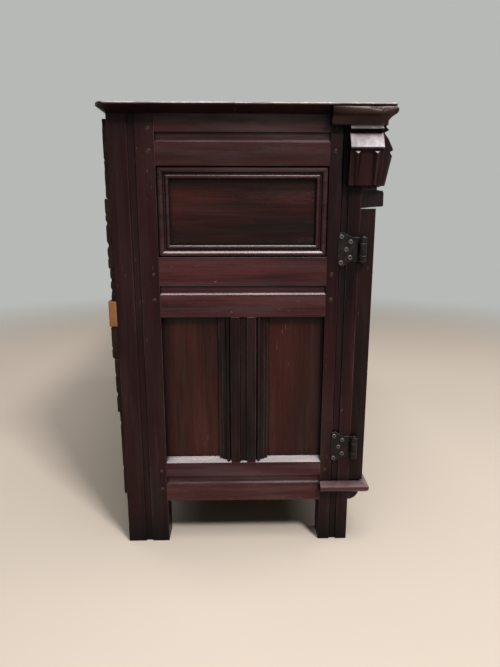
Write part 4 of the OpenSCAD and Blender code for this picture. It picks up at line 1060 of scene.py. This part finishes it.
# Each lamp: place, aim, size and watts
LAMPS = {
    "key": ((-2.5, -1.2, 3.25), (-0.5, 0.0, 0.4), (0.6, 0.6), 140.0),
    "ceiling": ((-1.1, -0.15, 3.2), (-1.1, -0.15, 0.0), (1.9, 1.7), 75.0),
    "front": ((0.6, -3.2, 3.0), (0.0, 0.0, 0.4), (1.6, 1.2), 34.0),
    "back": ((1.6, 3.0, 2.6), (0.2, 0.0, 0.4), (1.8, 1.4), 30.0),
}


def seen_directly(tree):
    """1 for camera, glossy and transmission rays, 0 for the light that surfaces scatter."""
    seen = [add_node(tree, "ShaderNodeLightPath", out=out)
            for out in ("Is Camera Ray", "Is Glossy Ray", "Is Transmission Ray")]
    both = seen[0].node("ShaderNodeMath", {"operation": "MAXIMUM"}, {0: seen[0], 1: seen[1]})
    return both.node("ShaderNodeMath", {"operation": "MAXIMUM"}, {0: both, 1: seen[2]})


def studio_floor():
    work = bmesh.new()
    bmesh.ops.create_circle(work, cap_ends=True, segments=64, radius=FLOOR_SIZE)
    mesh = bpy.data.meshes.new("studio_floor")
    work.to_mesh(mesh)
    work.free()
    floor = add_object("studio_floor", mesh)
    floor.location.z = -FLOOR_GAP
    material = bpy.data.materials.new("pale_floor")
    tree = empty_tree(material)
    place = object_place(tree)
    far = place.node("ShaderNodeVectorMath", {"operation": "LENGTH"}, {0: place}, out=1)
    near = add_node(tree, "ShaderNodeBsdfPrincipled", inputs={
        "Base Color": FLOOR_COLOUR, "Roughness": 0.9, "Specular IOR Level": 0.2})
    air = add_node(tree, "ShaderNodeEmission", inputs={"Color": AIR_COLOUR,
                                                       "Strength": AIR_STRENGTH})
    end_shader(tree, add_node(tree, "ShaderNodeMixShader", inputs={
        0: seen_directly(tree) * far.rise(FADE_FROM, FADE_TO), 1: near, 2: air}))
    dress(floor, material)


def studio_air():
    world = bpy.data.worlds.new("studio")
    bpy.context.scene.world = world
    tree = empty_tree(world)
    light, seen = [add_node(tree, "ShaderNodeBackground",
                            inputs={"Color": AIR_COLOUR, "Strength": strength})
                   for strength in (AIR_LIGHT, AIR_STRENGTH)]
    end_shader(tree, add_node(tree, "ShaderNodeMixShader", inputs={
        0: seen_directly(tree), 1: light, 2: seen}), "World")


def look_along(thing, direction):
    thing.rotation_euler = direction.to_track_quat("-Z", "Y").to_euler()


def lamp(name, place, aim, size, watts):
    data = bpy.data.lights.new(name, "AREA")
    data.shape = "RECTANGLE"
    data.size, data.size_y = size
    data.energy = watts
    thing = add_object(name, data)
    thing.location = place
    look_along(thing, Vector(aim) - Vector(place))


studio_floor()
studio_air()
for name, settings in LAMPS.items():
    lamp(name, *settings)

# %% Camera
FOCAL_PIXELS = 512.5
PICTURE_HEIGHT = 667
SENSOR = 36.0
CAMERA_FROM_END, CAMERA_FROM_BACK, CAMERA_HEIGHT = 0.9225, 0.2231, 0.6343
CAMERA_DOWN, CAMERA_TURN = math.radians(12.642), math.radians(1.205)
camera_data = bpy.data.cameras.new("camera")
camera_data.sensor_width = SENSOR
camera_data.lens = FOCAL_PIXELS / PICTURE_HEIGHT * SENSOR
camera = add_object("camera", camera_data)
camera.location = (-half_width - CAMERA_FROM_END, posts_back - CAMERA_FROM_BACK, CAMERA_HEIGHT)
look_along(camera, Vector((math.cos(CAMERA_DOWN) * math.cos(CAMERA_TURN),
                           -math.cos(CAMERA_DOWN) * math.sin(CAMERA_TURN),
                           -math.sin(CAMERA_DOWN))))
bpy.context.scene.camera = camera
bpy.context.scene.view_settings.view_transform = "Standard"
